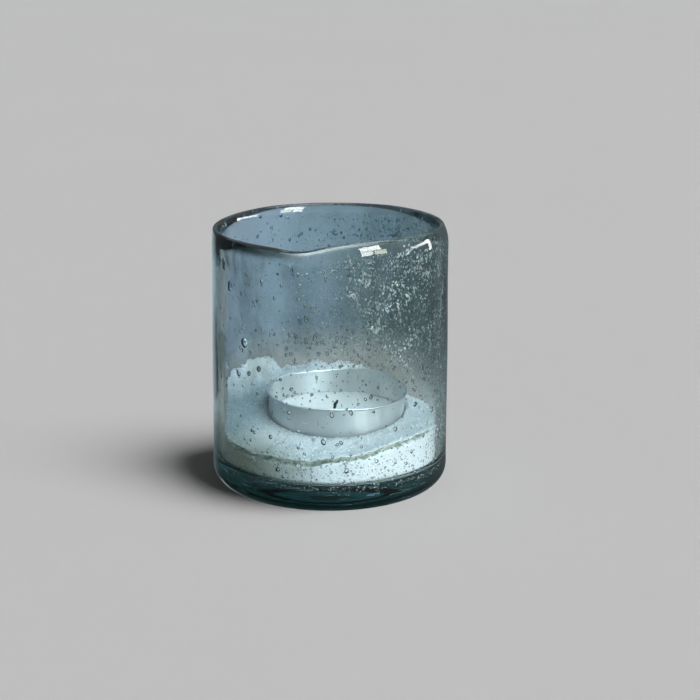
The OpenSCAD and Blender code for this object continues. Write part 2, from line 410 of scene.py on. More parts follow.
def seed_mesh():
    """Tiny pale grains of undissolved batch and foam in the glass, thickest at the upper right."""
    rng = np.random.RandomState(91)
    rows = []
    for pa, pz, sa, sz, n in [(300, 88, 12, 10, 230), (312, 99, 12, 5, 120), (322, 84, 13, 16, 210), (294, 74, 12, 9, 110), (328, 60, 10, 11, 140),
                              (286, 94, 6, 5, 50), (342, 98, 9, 6, 90), (40, 97, 16, 6, 130), (70, 99, 14, 4, 60), (20, 84, 12, 14, 60),
                              (318, 75, 18, 17, 330), (305, 62, 18, 9, 160), (342, 70, 8, 22, 170), (90, 93, 34, 7, 210), (285, 75, 34, 22, 330), (350, 60, 10, 24, 120), (345, 32, 6, 9, 150), (52, 95, 20, 6, 170), (275, 78, 14, 15, 90), (238, 80, 18, 16, 60), (340, 35, 8, 12, 120),
                              (282, 84, 9, 12, 170), (273, 75, 12, 8, 90), (293, 67, 12, 7, 60)]:
        for _ in range(n):
            a, z = rng.normal(pa, sa), rng.normal(pz, sz)
            if 20 < z < 103:
                k = 0.10 + 0.26 * rng.uniform() ** 2.4
                rows.append((math.radians(a), z, rng.uniform(0.3, 0.95), k * 0.7, k, k * rng.uniform(1.0, 2.6), rng.normal(0, 0.5)))
    # a few torn patches of foam
    for pa, pz, sa, sz, lean, n in [(292, 75, 2.6, 1.3, 0.2, 34), (287, 94, 2.2, 1.6, 0.3, 30), (301, 90, 3.0, 1.6, 0.5, 40), (316, 97, 2.4, 1.4, 0.2, 26), (309, 103, 3.0, 0.9, 0.0, 26),
                                    (331, 73, 1.2, 3.2, -0.6, 44), (340, 83, 1.0, 3.0, -0.6, 28), (326, 63, 1.4, 2.6, -0.3, 34), (255, 71, 2.2, 0.8, 0.1, 12), (321, 79, 1.6, 2.2, 0.0, 22),
                                    (281, 88, 2.4, 1.2, 0.3, 26), (284, 81, 1.6, 2.4, 0.1, 24), (296, 83, 3.0, 1.2, -0.3, 36), (305, 80, 1.2, 2.6, 0.3, 26), (312, 86, 3.2, 1.1, 0.3, 34), (322, 93, 2.6, 1.6, 0.2, 34),
                                    (334, 92, 1.8, 2.6, 0.3, 34), (338, 75, 0.9, 4.2, -0.2, 50), (318, 70, 2.6, 1.2, 0.3, 28), (309, 66, 1.8, 1.4, 0.0, 20), (299, 66, 2.2, 1.0, 0.2, 18), (335, 60, 1.2, 3.4, -0.2, 34),
                                    (277, 100, 3.2, 0.8, 0.1, 20), (327, 100, 4.0, 1.0, 0.0, 36), (30, 97, 4.0, 1.6, 0.0, 50), (52, 96, 3.0, 1.4, 0.2, 34), (12, 88, 3.0, 2.4, 0.2, 40)]:
        for _ in range(n):
            da, dz = rng.normal(0, sa), rng.normal(0, sz)
            k = 0.14 + 0.38 * rng.uniform() ** 1.8
            rows.append((math.radians(pa + da - lean * dz), pz + dz + lean * da * 0.5, rng.uniform(0.4, 0.95), k * 0.6, k, k * rng.uniform(0.8, 1.7), rng.normal(0, 0.7)))
    # pale striae along the foot at the left, painted highlights standing in for bright lines of light in the foot
    for pa, pz, long, thin, lean in [(190, 9.2, 1.7, 0.20, -0.75), (194, 7.2, 2.2, 0.22, -0.50), (200, 5.2, 2.6, 0.20, -0.36), (207, 3.9, 2.6, 0.15, -0.22), (200, 14.4, 2.6, 0.20, -0.06),
                                     (206, 13.7, 2.2, 0.14, -0.05), (203, 11.6, 2.0, 0.13, -0.10), (209, 10.4, 2.4, 0.11, -0.12), (214, 6.8, 3.2, 0.10, -0.10), (222, 5.0, 3.4, 0.10, -0.06), (226, 8.0, 2.2, 0.09, -0.06)]:
        rows.append((math.radians(pa), pz, 0.92, 0.10, long, thin, lean))
    rows = np.array(rows)
    shapes = {}
    for kind in (0, 1):
        tv, tf = sphere_template(kind)
        shapes[kind] = (tv, [(a, c, b) for a, b, c in tf])
    return place_balls(rows, shapes, (rows[:, 4] > 1).astype(int), 0.35)


# ---------------------------------------------------------------- the salt bed
wall_h = ring_table([(0, 28.5), (20, 27.2), (40, 27.4), (50, 30.0), (60, 33.4), (75, 36.0), (85, 37.4), (95, 37.0), (105, 36.8), (115, 36.3), (123, 36.4),
                     (127, 40.2), (133, 41.6), (150, 41.8), (165, 41.2), (172, 40), (180, 37), (187, 30.5), (194, 27), (202, 23.6), (215, 22), (250, 22),
                     (270, 22.8), (285, 24.5), (300, 26.4), (325, 27.2), (340, 28.2)])
cup_edge_h = ring_table([(0, 27.8), (25, 28.2), (50, 30.8), (70, 34.2), (90, 35.7), (115, 35.6), (135, 35.2), (155, 34.2), (175, 31.6), (190, 28.8),
                         (210, 26.0), (235, 24.4), (260, 23.9), (285, 24.2), (305, 25.2), (325, 26.4), (345, 27.4)])


def cup_r(z):
    """Outside radius of the cup at a height over the table."""
    t = np.clip((z - CUP[2]) / CUP_H, 0, 1)
    r = CUP_LOW + (CUP_TOP - CUP_LOW) * t
    return np.where(z > CUP[2] + CUP_H - 1.6, CUP_R, r)


def cavity_r(z):
    """Radius of the undented hollow at a height."""
    z = np.asarray(z, float)
    r = LOW_R + (TOP_R - LOW_R) * np.clip((z - LOW_Z) / (TOP_Z - LOW_Z), 0, 1)
    low = LOW_R - INNER_R + np.sqrt(np.maximum(INNER_R ** 2 - (LOW_Z - np.minimum(z, LOW_Z)) ** 2, 0))
    return np.where(z < LOW_Z, low, r)


def drawn_back(ang, z):
    """How far the heap has slumped away from the glass at the left."""
    d = np.abs(np.mod(np.degrees(ang) - 180 + 180, 360) - 180)
    return 1.9 * smooth((z - 25.5) / 11) * smooth((34 - d) / 16)


def salt_surface(theta, t):
    """Point of the bed's top: theta about the cup, t from 0 at the cup to 1 at the glass."""
    ct, st = np.cos(theta), np.sin(theta)
    h0 = cup_edge_h(np.degrees(theta))
    # distance from the cup's middle to the glass along theta
    def reach(rw):
        b = CUP[0] * ct + CUP[1] * st
        return -b + np.sqrt(np.maximum(b * b - (CUP[0] ** 2 + CUP[1] ** 2) + rw * rw, 0))
    out = reach(LOW_R + 0.15)
    px, py = CUP[0] + out * ct, CUP[1] + out * st
    h1 = wall_h(np.degrees(np.arctan2(py, px)))
    # the glass leans outwards a little, so the reach grows with the height
    out = reach(cavity_r(h1) - 0.15 - drawn_back(np.arctan2(py, px), h1))
    rho0 = cup_r(h0 - 0.8) - 0.06
    rho = rho0 + (out - rho0) * t
    x, y = CUP[0] + rho * ct, CUP[1] + rho * st
    ease = t ** np.where(h1 > 33, 1.9, 1.3)
    z = h0 + (h1 - h0) * ease
    p = np.stack([x, y, np.zeros_like(x)], -1)
    fade = smooth(t * 6)
    z = z + fade * (1.0 * fbm(p / 12, 21, 2) + 0.45 * fbm(p / 4.2, 24, 2)) + 0.16 * fbm(p / 1.25, 27, 2)
    # ragged where it clings to the glass
    edge = smooth((t - 0.78) / 0.22)
    z = z + edge * (0.7 * vnoise(p / 2.4, 31) + 0.45 * vnoise(p / 1.1, 32)) * np.where(h1 > 30, 1.1, 0.45)
    return x, y, z


def salt_body(nth, nt):
    theta = np.linspace(0, 2 * np.pi, nth, endpoint=False)
    loops = []
    for t in np.linspace(0, 1, nt) ** 1.0:
        x, y, z = salt_surface(theta, np.full(nth, t))
        loops.append(np.stack([x, y, z], -1))
    xo, yo, zo = loops[-1].T
    ang = np.arctan2(yo, xo)
    # down the glass
    gap_shade_rows = []
    for k, f in enumerate(np.concatenate([np.linspace(0, 0.2, 9)[1:], np.linspace(0.2, 1, 15)[1:]])):
        z = zo + (FLOOR + 0.45 - zo) * f
        r = cavity_r(z) - 0.15 - drawn_back(ang, z)
        q = np.stack([r * np.cos(ang), r * np.sin(ang), z], -1)
        r = r - 0.16 * (0.5 + 0.5 * fbm(q / 1.7, 41, 2)) - 0.30 * np.maximum(0, fbm(q / 9, 44, 2))
        # it has sunk away from the glass a little under its top edge
        d = zo - z
        line = smooth(1.5 + 1.3 * vnoise(q / 12, 46)) * smooth((np.cos(ang - math.radians(262)) - 0.10) / 0.45)
        r = r - 1.8 * smooth((d - 0.25) / 0.4) * smooth((2.5 - d) / 0.8) * line
        # the faces of this sunk band take the dark olive painted-shade material
        gap_shade_rows.append((len(loops), (d > 0.35) & (d < 2.1 + 0.5 * vnoise(q / 2.2, 47)) & (line > 0.5)))
        loops.append(np.stack([r * np.cos(ang), r * np.sin(ang), z], -1))
    # in across the floor
    for f in (0.0, 0.5, 1.0):
        z = np.full(nth, FLOOR + 0.12)
        ro = np.full(nth, cavity_r(FLOOR + 0.6) - 0.5)
        wx, wy = ro * np.cos(ang), ro * np.sin(ang)
        ix, iy = CUP[0] + (CUP_LOW - 1.0) * np.cos(theta), CUP[1] + (CUP_LOW - 1.0) * np.sin(theta)
        # the cup's foot may come nearer to the wall than the fillet
        loops.append(np.stack([wx + (ix - wx) * f, wy + (iy - wy) * f, z + 0.05 * (1 - f)], -1))
    # up beside the cup
    zi = loops[0][:, 2]
    for f in np.linspace(0, 1, 7)[:-1]:
        z = CUP[2] + 0.9 + (zi - 0.5 - CUP[2] - 0.9) * f
        r = np.minimum(cup_r(z), CUP_TOP) - 0.06
        loops.append(np.stack([CUP[0] + r * np.cos(theta), CUP[1] + r * np.sin(theta), z], -1))
    v = np.concatenate(loops)
    n = len(loops)
    faces = []
    shade_mask = {j: m for j, m in gap_shade_rows}
    kind = []
    for j in range(n):
        a, b = j * nth, ((j + 1) % n) * nth
        m = shade_mask.get(j, np.zeros(nth, bool))
        for i in range(nth):
            k = (i + 1) % nth
            faces.append((a + i, b + i, b + k, a + k))
            kind.append(2 if m[i] else 0)
    return v, faces, kind


def crystals(count):
    """Small broken cubes of salt lying on the bed, more of them along its edges."""
    rng = np.random.RandomState(77)
    cube = np.array([(x, y, z) for x in (-1, 1) for y in (-1, 1) for z in (-1, 1)], float)
    quads = [(0, 1, 3, 2), (4, 6, 7, 5), (0, 4, 5, 1), (2, 3, 7, 6), (0, 2, 6, 4), (1, 5, 7, 3)]
    th = rng.uniform(0, 2 * np.pi, count)
    t = rng.uniform(0, 1, count)
    side = rng.uniform(0, 1, count)
    t = np.where(side < 0.34, 1 - 0.10 * rng.uniform(0, 1, count) ** 2, t)
    t = np.where(side > 0.86, 0.06 * rng.uniform(0, 1, count), t)
    x, y, z = salt_surface(th, t)
    size = 0.20 + 0.26 * rng.uniform(0, 1, count) ** 2
    # keep clear of the glass and of the cup
    r = np.hypot(x, y)
    lim = cavity_r(z) - size * 1.45 - 0.05
    k = np.minimum(1, lim / r)
    x, y = x * k, y * k
    dx, dy = x - CUP[0], y - CUP[1]
    d = np.hypot(dx, dy)
    need = np.where(z + size > CUP[2] + CUP_H - 1.8, CUP_R, cup_r(z)) + size * 1.3 + 0.05
    over = z - size > CUP[2] + CUP_H
    k = np.where((d < need) & ~over, need / d, 1)
    x, y = CUP[0] + dx * k, CUP[1] + dy * k
    ok = np.hypot(x, y) <= cavity_r(z) - size * 1.2
    x, y, z, size = x[ok], y[ok], z[ok], size[ok]
    n = len(x)
    q = rng.normal(size=(n, 4))
    q /= np.linalg.norm(q, axis=1)[:, None]
    w, a, b, c = q.T
    rot = np.stack([1 - 2 * (b * b + c * c), 2 * (a * b - w * c), 2 * (a * c + w * b),
                    2 * (a * b + w * c), 1 - 2 * (a * a + c * c), 2 * (b * c - w * a),
                    2 * (a * c - w * b), 2 * (b * c + w * a), 1 - 2 * (a * a + b * b)], -1).reshape(n, 3, 3)
    s = size[:, None] * rng.uniform(0.55, 1.0, (n, 3))
    local = cube[None] * s[:, None, :] * rng.uniform(0.72, 1.0, (n, 8, 1))
    v = np.einsum("nij,nkj->nki", rot, local) + np.stack([x, y, z + size * 0.05], -1)[:, None]
    f = np.array(quads)[None] + (np.arange(n) * 8)[:, None, None]
    return v.reshape(-1, 3), f.reshape(-1, 4)


# ---------------------------------------------------------------- turned pieces
def turned(profile, nphi, offset, wobble=None, closed=False, start_pole=None, end_pole=None):
    """A mesh turned about the cup's axis from (r, z) points. wobble(phi, r, z) gives (r, z) changed."""
    phi = np.linspace(0, 2 * np.pi, nphi, endpoint=False)
    rings = []
    for r, z in profile:
        rr, zz = np.full(nphi, float(r)), np.full(nphi, float(z))
        if wobble is not None:
            rr, zz = wobble(phi, rr, zz)
        rings.append(np.stack([rr * np.cos(phi), rr * np.sin(phi), zz], -1))
    v = np.concatenate(rings)
    n = len(profile)
    faces = []
    for j in range(n if closed else n - 1):
        a, b = j * nphi, ((j + 1) % n) * nphi
        for i in range(nphi):
            k = (i + 1) % nphi
            faces.append((a + i, a + k, b + k, b + i))
    if start_pole is not None:
        v = np.concatenate([v, [[0, 0, start_pole]]])
        c = len(v) - 1
        faces += [(c, (i + 1) % nphi, i) for i in range(nphi)]
    if end_pole is not None:
        v = np.concatenate([v, [[0, 0, end_pole]]])
        c = len(v) - 1
        faces += [(c, (n - 1) * nphi + i, (n - 1) * nphi + (i + 1) % nphi) for i in range(nphi)]
    return v + np.array(offset), faces


def cup_wobble(phi, r, z):
    """Thin foil: not quite round, small presses, and a ribbed foot."""
    t = np.clip(z / CUP_H, 0, 1)
    p = np.stack([np.cos(phi) * 1.6, np.sin(phi) * 1.6, z / 14], -1)
    push = -0.10 + 0.12 * vnoise(p, 51) + 0.05 * vnoise(p * 3.1, 52)
    ribs = 0.16 * np.cos(phi * 60) * smooth((9.5 - z) / 3.0) * smooth((z - 0.9) / 1.2)
    wall = smooth((r - 25) / 2.5)
    dz = 0.10 * vnoise(np.stack([np.cos(phi) * 2.2, np.sin(phi) * 2.2, np.full_like(phi, 7.1)], -1), 53) * smooth((z - 20) / 4)
    return r + wall * (push + ribs - 0.14), z + dz - 0.10 * smooth((z - 20) / 4)


def cup_mesh():
    T = 0.18
    def wall(z):
        return CUP_LOW + (CUP_TOP - CUP_LOW) * z / CUP_H
    out = [(9.5, 1.2), (10.6, 0.1), (11.4, 0.0), (26.6, 0.0), (27.4, 0.25), (wall(1.0), 1.0)]
    out += [(wall(z), z) for z in (1.8, 2.6, 3.6, 4.8, 6, 7, 8, 9, 10, 11.5, 13, 15, 17, 19, 21, 22.6, 23.4)]
    bead = [(CUP_R - 0.5 + 0.5 * math.cos(a), 24.3 + 0.5 * math.sin(a)) for a in np.radians([225, 260, 300, 340, 10, 40, 70, 95, 120, 150, 175])]
    inn = [(wall(z) - T, z) for z in (23.6, 23, 21, 19, 17, 15, 13, 11.5, 10, 9, 8, 7, 6, 4.8, 3.6, 2.6, 1.8)]
    inn += [(wall(1.0) - T, 1.0), (27.2, 0.42), (26.5, T + 0.02), (11.5, T + 0.02), (10.75, 0.3), (9.6, 1.2 + T)]
    return turned(out + bead + inn, 240, CUP, cup_wobble, start_pole=1.2, end_pole=1.2 + T)


def wax_wobble(phi, r, z):
    x, y = r * np.cos(phi), r * np.sin(phi)
    top = smooth((z - WAX_H + 1.6) / 1.0)
    p = np.stack([x, y, np.zeros_like(x)], -1)
    dz = 0.16 * fbm(p / 9, 61, 2) + 0.035 * fbm(p / 2.3, 62, 2)
    # a shallow pool left by the last flame, a little to one side of the wick
    d = np.hypot(x - 2.0, y + 1.0)
    dz = dz - 0.25 * smooth((17 - d) / 5)
    rim = smooth((r - 27.6) / 1.0)
    dz = dz + rim * 0.25 * vnoise(np.stack([np.cos(phi) * 5, np.sin(phi) * 5, np.zeros_like(phi)], -1), 63)
    push = -0.10 + 0.12 * vnoise(np.stack([np.cos(phi) * 1.6, np.sin(phi) * 1.6, z / 14], -1), 51) + 0.05 * vnoise(np.stack([np.cos(phi) * 1.6, np.sin(phi) * 1.6, z / 14], -1) * 3.1, 52)
    wall = smooth((r - 25) / 2.5)
    return r + wall * (push - 0.14), z + top * dz


def wax_mesh():
    def wall(z):
        return CUP_LOW + (CUP_TOP - CUP_LOW) * z / CUP_H - 0.30
    side = [(10.9, 0.55), (26.2, 0.55), (27.2, 0.8), (wall(1.6), 1.6), (wall(5), 5), (wall(9), 9), (wall(12), 12), (wall(13.6), 13.6), (wall(14.6), 14.55), (wall(14.9) - 0.1, 14.72)]
    top = [(28.1, 14.55), (27.6, 14.25), (26.8, 14.02), (25.4, 13.85), (23, 13.74), (20, 13.7), (18, 13.68), (16, 13.66), (14, 13.64), (12, 13.63), (10, 13.64), (8, 13.68),
           (6, 13.76), (4.5, 13.86), (3.4, 13.98), (2.6, 14.12), (1.9, 14.3), (1.4, 14.42), (1.05, 14.48), (0.86, 14.3), (0.86, 10.0)]
    return turned([(9.4, 1.75)] + side + top, 200, CUP, wax_wobble, start_pole=1.75, end_pole=10.0)


def wick_mesh():
    """Three strands braided round one line, with a charred, leaning and shrivelled tip."""
    lean = math.radians(32)
    az = math.radians(-20)
    n, m = 84, 12
    verts, faces = [], []
    s_all = np.linspace(0, 1, n)
    z_bend = WAX_H + 1.7
    z_lo = 3.0
    length_up = z_bend - z_lo
    tip = 4.2
    total = length_up + tip
    def centre(s):
        d = s * total
        if d < length_up:
            return np.array([0, 0, z_lo + d]), np.array([0, 0, 1.0])
        u = (d - length_up) / tip
        a = lean * min(1.0, u * 1.9) * 1.12
        steps = 12
        p = np.array([0, 0, z_bend], float)
        for k in range(steps):
            uu = u * (k + 0.5) / steps
            aa = lean * min(1.0, uu * 1.9) * 1.12
            p = p + np.array([math.sin(aa) * math.cos(az), math.sin(aa) * math.sin(az), math.cos(aa)]) * (u * tip / steps)
        return p, np.array([math.sin(a) * math.cos(az), math.sin(a) * math.sin(az), math.cos(a)])
    for strand in range(3):
        base = len(verts)
        for i, s in enumerate(s_all):
            p, d = centre(s)
            x = np.cross(d, [0, 1, 0.0]); x /= np.linalg.norm(x)
            y = np.cross(d, x)
            ph = strand * 2 * math.pi / 3 + s * total / 1.15
            burn = smooth((s * total - length_up + 0.4) / 1.2)
            wide = (0.36 + 0.10 * burn) * (1 - 0.25 * smooth((s - 0.93) / 0.07)) * (1 + 0.16 * burn * math.sin(s * 210 + strand))
            off = (0.36 + 0.06 * burn) * (1 - 0.35 * smooth((s - 0.92) / 0.08)) + 0.07 * burn * math.sin(s * 150 + 2 * strand)
            c = p + (x * math.cos(ph) + y * math.sin(ph)) * off
            for k in range(m):
                a = 2 * math.pi * k / m
                lump = 1 + 0.12 * burn * math.sin(5 * a + i * 1.7 + strand)
                verts.append(c + (x * math.cos(a) + y * math.sin(a)) * wide * lump)
        for i in range(n - 1):
            for k in range(m):
                q = (k + 1) % m
                faces.append((base + i * m + k, base + (i + 1) * m + k, base + (i + 1) * m + q, base + i * m + q))
        faces.append(tuple(base + k for k in range(m)))
        faces.append(tuple(base + (n - 1) * m + k for k in reversed(range(m))))
    return np.array(verts) + np.array(CUP), faces


# ---------------------------------------------------------------- materials
def new_material(name):
    m = bpy.data.materials.new(name)
    m.use_nodes = True
    nt = m.node_tree
    nt.nodes.clear()
    out = nt.nodes.new("ShaderNodeOutputMaterial")
    return m, nt, out


def node(nt, kind, **kw):
    n = nt.nodes.new(kind)
    for k, v in kw.items():
        if k.startswith("_"):
            setattr(n, k[1:], v)
        else:
            n.inputs[k.replace("__", " ")].default_value = v
    return n


def ramp(nt, a, b, lo, hi):
    r = nt.nodes.new("ShaderNodeMapRange")
    r.inputs["From Min"].default_value = a
    r.inputs["From Max"].default_value = b
    r.inputs["To Min"].default_value = lo
    r.inputs["To Max"].default_value = hi
    return r


def glass_material():
    m, nt, out = new_material("glass_tumbler_look")
    L = nt.links
    tc = nt.nodes.new("ShaderNodeTexCoord")
    p = nt.nodes.new("ShaderNodeBsdfPrincipled")
    # the tint drifts from wall to wall, with tall streaks and clouds in it; the darker, bluer back wall and the
    # darkening towards the right are painted shade over the glass's own tint
    sx = nt.nodes.new("ShaderNodeSeparateXYZ")
    L.new(tc.outputs["Object"], sx.inputs[0])

    def noise_of(scale, detail, stretch=(1, 1, 1)):
        mp = nt.nodes.new("ShaderNodeMapping")
        mp.inputs["Scale"].default_value = stretch
        L.new(tc.outputs["Object"], mp.inputs["Vector"])
        n = node(nt, "ShaderNodeTexNoise", Scale=scale, Detail=detail)
        L.new(mp.outputs["Vector"], n.inputs["Vector"])
        return n.outputs["Fac"]

    def add(a, k, b):
        m = nt.nodes.new("ShaderNodeMath")
        m.operation = "MULTIPLY_ADD"
        L.new(a, m.inputs[0])
        m.inputs[1].default_value = k
        if isinstance(b, float):
            m.inputs[2].default_value = b
        else:
            L.new(b, m.inputs[2])
        return m.outputs[0]

    def ramp_of(fac, stops):
        cr = nt.nodes.new("ShaderNodeValToRGB")
        e = cr.color_ramp.elements
        e[0].position, e[0].color = stops[0][0], (*stops[0][1], 1)
        e[1].position, e[1].color = stops[-1][0], (*stops[-1][1], 1)
        for pos, col in stops[1:-1]:
            q = e.new(pos)
            q.color = (*col, 1)
        L.new(fac, cr.inputs["Fac"])
        return cr.outputs["Color"]

    def times(c1, c2):
        m = nt.nodes.new("ShaderNodeMix")
        m.data_type = "RGBA"
        m.blend_type = "MULTIPLY"
        m.inputs[0].default_value = 1.0
        L.new(c1, m.inputs[6])
        L.new(c2, m.inputs[7])
        return m.outputs[2]

    back_shade = ramp_of(add(sx.outputs["Y"], 9.0, 0.5), [(0.15, TINT_FRONT), (0.85, BACK_SHADE_TINT)])
    streak = add(noise_of(1.0, 2.5, (60, 60, 7)), 1.0, -0.5)
    across_shade = ramp_of(add(streak, 0.75, add(sx.outputs["X"], 9.0, 0.5)), ACROSS_SHADE_TINT)
    cloud_and_shade = ramp_of(noise_of(50.0, 4.5, (1, 1, 0.62)), [(0.30, (0.62, 0.65, 0.64)), (0.44, (0.94, 0.94, 0.95)), (0.58, (1, 1, 1))])
    # dark smears in the front left of the wall
    dt = nt.nodes.new("ShaderNodeVectorMath")
    dt.operation = "DOT_PRODUCT"
    L.new(tc.outputs["Object"], dt.inputs[0])
    dt.inputs[1].default_value = (-0.80, -0.60, 0.0)
    here = ramp(nt, 0.036, 0.046, 0.0, 1.0)
    L.new(dt.outputs["Value"], here.inputs["Value"])
    blot = ramp(nt, 0.48, 0.60, 0.0, 1.0)
    L.new(noise_of(95.0, 3.0, (1, 1, 0.42)), blot.inputs["Value"])
    both = nt.nodes.new("ShaderNodeMath")
    both.operation = "MULTIPLY"
    L.new(here.outputs["Result"], both.inputs[0])
    L.new(blot.outputs["Result"], both.inputs[1])
    smear = nt.nodes.new("ShaderNodeMix")
    smear.data_type = "RGBA"
    smear.blend_type = "MULTIPLY"
    L.new(both.outputs[0], smear.inputs[0])
    L.new(cloud_and_shade, smear.inputs[6])
    smear.inputs[7].default_value = (0.50, 0.52, 0.46, 1)
    cloud_and_shade = smear.outputs[2]
    def toward(x, y, lo, hi, a, b):
        dq = nt.nodes.new("ShaderNodeVectorMath")
        dq.operation = "DOT_PRODUCT"
        L.new(tc.outputs["Object"], dq.inputs[0])
        dq.inputs[1].default_value = (x, y, 0.0)
        rq = ramp(nt, lo, hi, a, b)
        L.new(dq.outputs["Value"], rq.inputs["Value"])
        return rq.outputs["Result"]

    def darker(colour, share, tint):
        mq = nt.nodes.new("ShaderNodeMix")
        mq.data_type = "RGBA"
        mq.blend_type = "MULTIPLY"
        L.new(share, mq.inputs[0])
        L.new(colour, mq.inputs[6])
        mq.inputs[7].default_value = (*tint, 1)
        return mq.outputs[2]

    # painted shade: a dark band under the thick lip at the front left, and a darker back wall on the right
    lip_z = ramp(nt, 0.1002, 0.1024, 0.0, 1.0)
    L.new(sx.outputs["Z"], lip_z.inputs["Value"])
    lip_shade = nt.nodes.new("ShaderNodeMath")
    lip_shade.operation = "MULTIPLY"
    L.new(toward(-0.70, -0.71, 0.0380, 0.0435, 0.0, 1.0), lip_shade.inputs[0])
    L.new(lip_z.outputs["Result"], lip_shade.inputs[1])
    cloud_and_shade = darker(cloud_and_shade, lip_shade.outputs[0], (0.10, 0.15, 0.13))
    cloud_and_shade = darker(cloud_and_shade, toward(0.62, 0.78, 0.016, 0.042, 0.0, 1.0), (0.63, 0.68, 0.69))
    # below about 4 cm the wall takes a paler tint: partly the clearer glass there, partly painted light
    low = nt.nodes.new("ShaderNodeMix")
    low.data_type = "RGBA"
    L.new(ramp_of(add(sx.outputs["X"], 10.0, 0.5), LOW_LIGHT_TINT), low.inputs[6])
    up = ramp(nt, 0.037, 0.055, 0.0, 1.0)
    L.new(sx.outputs["Z"], up.inputs["Value"])
    L.new(up.outputs["Result"], low.inputs[0])
    L.new(times(times(back_shade, across_shade), cloud_and_shade), low.inputs[7])
    # painted shade: the edges that stand against the light are darkened, at the right edge and in low strips at both
    # edges; the thick foot's own streaked tint is also painted darker towards the left
    rim = ramp_of(add(sx.outputs["X"], 10.0, 0.5), [(0.025, (0.95, 0.98, 0.99)), (0.065, (1.0, 1.0, 1.0)), (0.925, (1.0, 1.0, 1.0)), (0.965, EDGE_RIGHT_SHADE)])
    edge_strip_shade = nt.nodes.new("ShaderNodeMix")
    edge_strip_shade.data_type = "RGBA"
    edge_strip_shade.inputs[6].default_value = (1, 1, 1, 1)
    strip_x = ramp(nt, 0.0432, 0.0452, 0.0, 1.0)
    L.new(sx.outputs["X"], strip_x.inputs["Value"])
    strip_z = ramp(nt, 0.024, 0.040, 0.10, 0.0)
    L.new(sx.outputs["Z"], strip_z.inputs["Value"])
    strip_m = nt.nodes.new("ShaderNodeMath")
    strip_m.operation = "MULTIPLY"
    L.new(strip_x.outputs["Result"], strip_m.inputs[0])
    L.new(strip_z.outputs["Result"], strip_m.inputs[1])
    # and on the left, lower still, the same painted shade
    left_x = ramp(nt, -0.0480, -0.0422, 0.95, 0.0)
    L.new(sx.outputs["X"], left_x.inputs["Value"])
    left_z = ramp(nt, 0.0240, 0.0340, 1.0, 0.0)
    L.new(sx.outputs["Z"], left_z.inputs["Value"])
    left_m = nt.nodes.new("ShaderNodeMath")
    left_m.operation = "MULTIPLY"
    L.new(left_x.outputs["Result"], left_m.inputs[0])
    L.new(left_z.outputs["Result"], left_m.inputs[1])
    either = nt.nodes.new("ShaderNodeMath")
    either.operation = "MAXIMUM"
    L.new(strip_m.outputs[0], either.inputs[0])
    L.new(left_m.outputs[0], either.inputs[1])
    L.new(either.outputs[0], edge_strip_shade.inputs[0])
    edge_strip_shade.inputs[7].default_value = (0.10, 0.16, 0.16, 1)
    foot_tint_and_shade = nt.nodes.new("ShaderNodeMix")
    foot_tint_and_shade.data_type = "RGBA"
    fz = ramp(nt, 0.0085, 0.0115, 0.0, 1.0)
    L.new(sx.outputs["Z"], fz.inputs["Value"])
    L.new(fz.outputs["Result"], foot_tint_and_shade.inputs[0])
    L.new(ramp_of(noise_of(1.0, 3.0, (36, 36, 90)), [(0.32, (0.34, 0.56, 0.50)), (0.50, (0.60, 0.88, 0.83)), (0.62, (0.72, 0.96, 1.0)), (0.72, (1.0, 1.0, 1.0))]), foot_tint_and_shade.inputs[6])
    foot_tint_and_shade.inputs[7].default_value = (1, 1, 1, 1)
    foot_tint = foot_tint_and_shade.inputs[6].links[0].from_socket
    # painted shade: the foot darker towards the left
    L.new(times(foot_tint, ramp_of(add(sx.outputs["X"], 10.0, 0.5), [(0.15, (0.38, 0.42, 0.38)), (0.5, (0.74, 0.70, 0.66)), (0.8, (1.0, 1.0, 1.0))])), foot_tint_and_shade.inputs[6])
    L.new(times(times(low.outputs[2], times(rim, edge_strip_shade.outputs[2])), foot_tint_and_shade.outputs[2]), p.inputs["Base Color"])
    p.inputs["Transmission Weight"].default_value = 1.0
    p.inputs["IOR"].default_value = 1.5
    n1 = node(nt, "ShaderNodeTexNoise", Scale=55.0, Detail=3.0)
    L.new(tc.outputs["Object"], n1.inputs["Vector"])
    r1 = ramp(nt, 0.35, 0.75, 0.0, 0.045)
    L.new(n1.outputs["Fac"], r1.inputs["Value"])
    rz = nt.nodes.new("ShaderNodeMath")
    rz.operation = "MULTIPLY"
    L.new(r1.outputs["Result"], rz.inputs[0])
    L.new(up.outputs["Result"], rz.inputs[1])
    L.new(rz.outputs[0], p.inputs["Roughness"])
    n2 = node(nt, "ShaderNodeTexNoise", Scale=210.0, Detail=2.0)
    L.new(tc.outputs["Object"], n2.inputs["Vector"])
    b = nt.nodes.new("ShaderNodeBump")
    b.inputs["Strength"].default_value = 0.09
    b.inputs["Distance"].default_value = 0.0003
    L.new(n2.outputs["Fac"], b.inputs["Height"])
    L.new(b.outputs["Normal"], p.inputs["Normal"])
    t = nt.nodes.new("ShaderNodeBsdfTransparent")
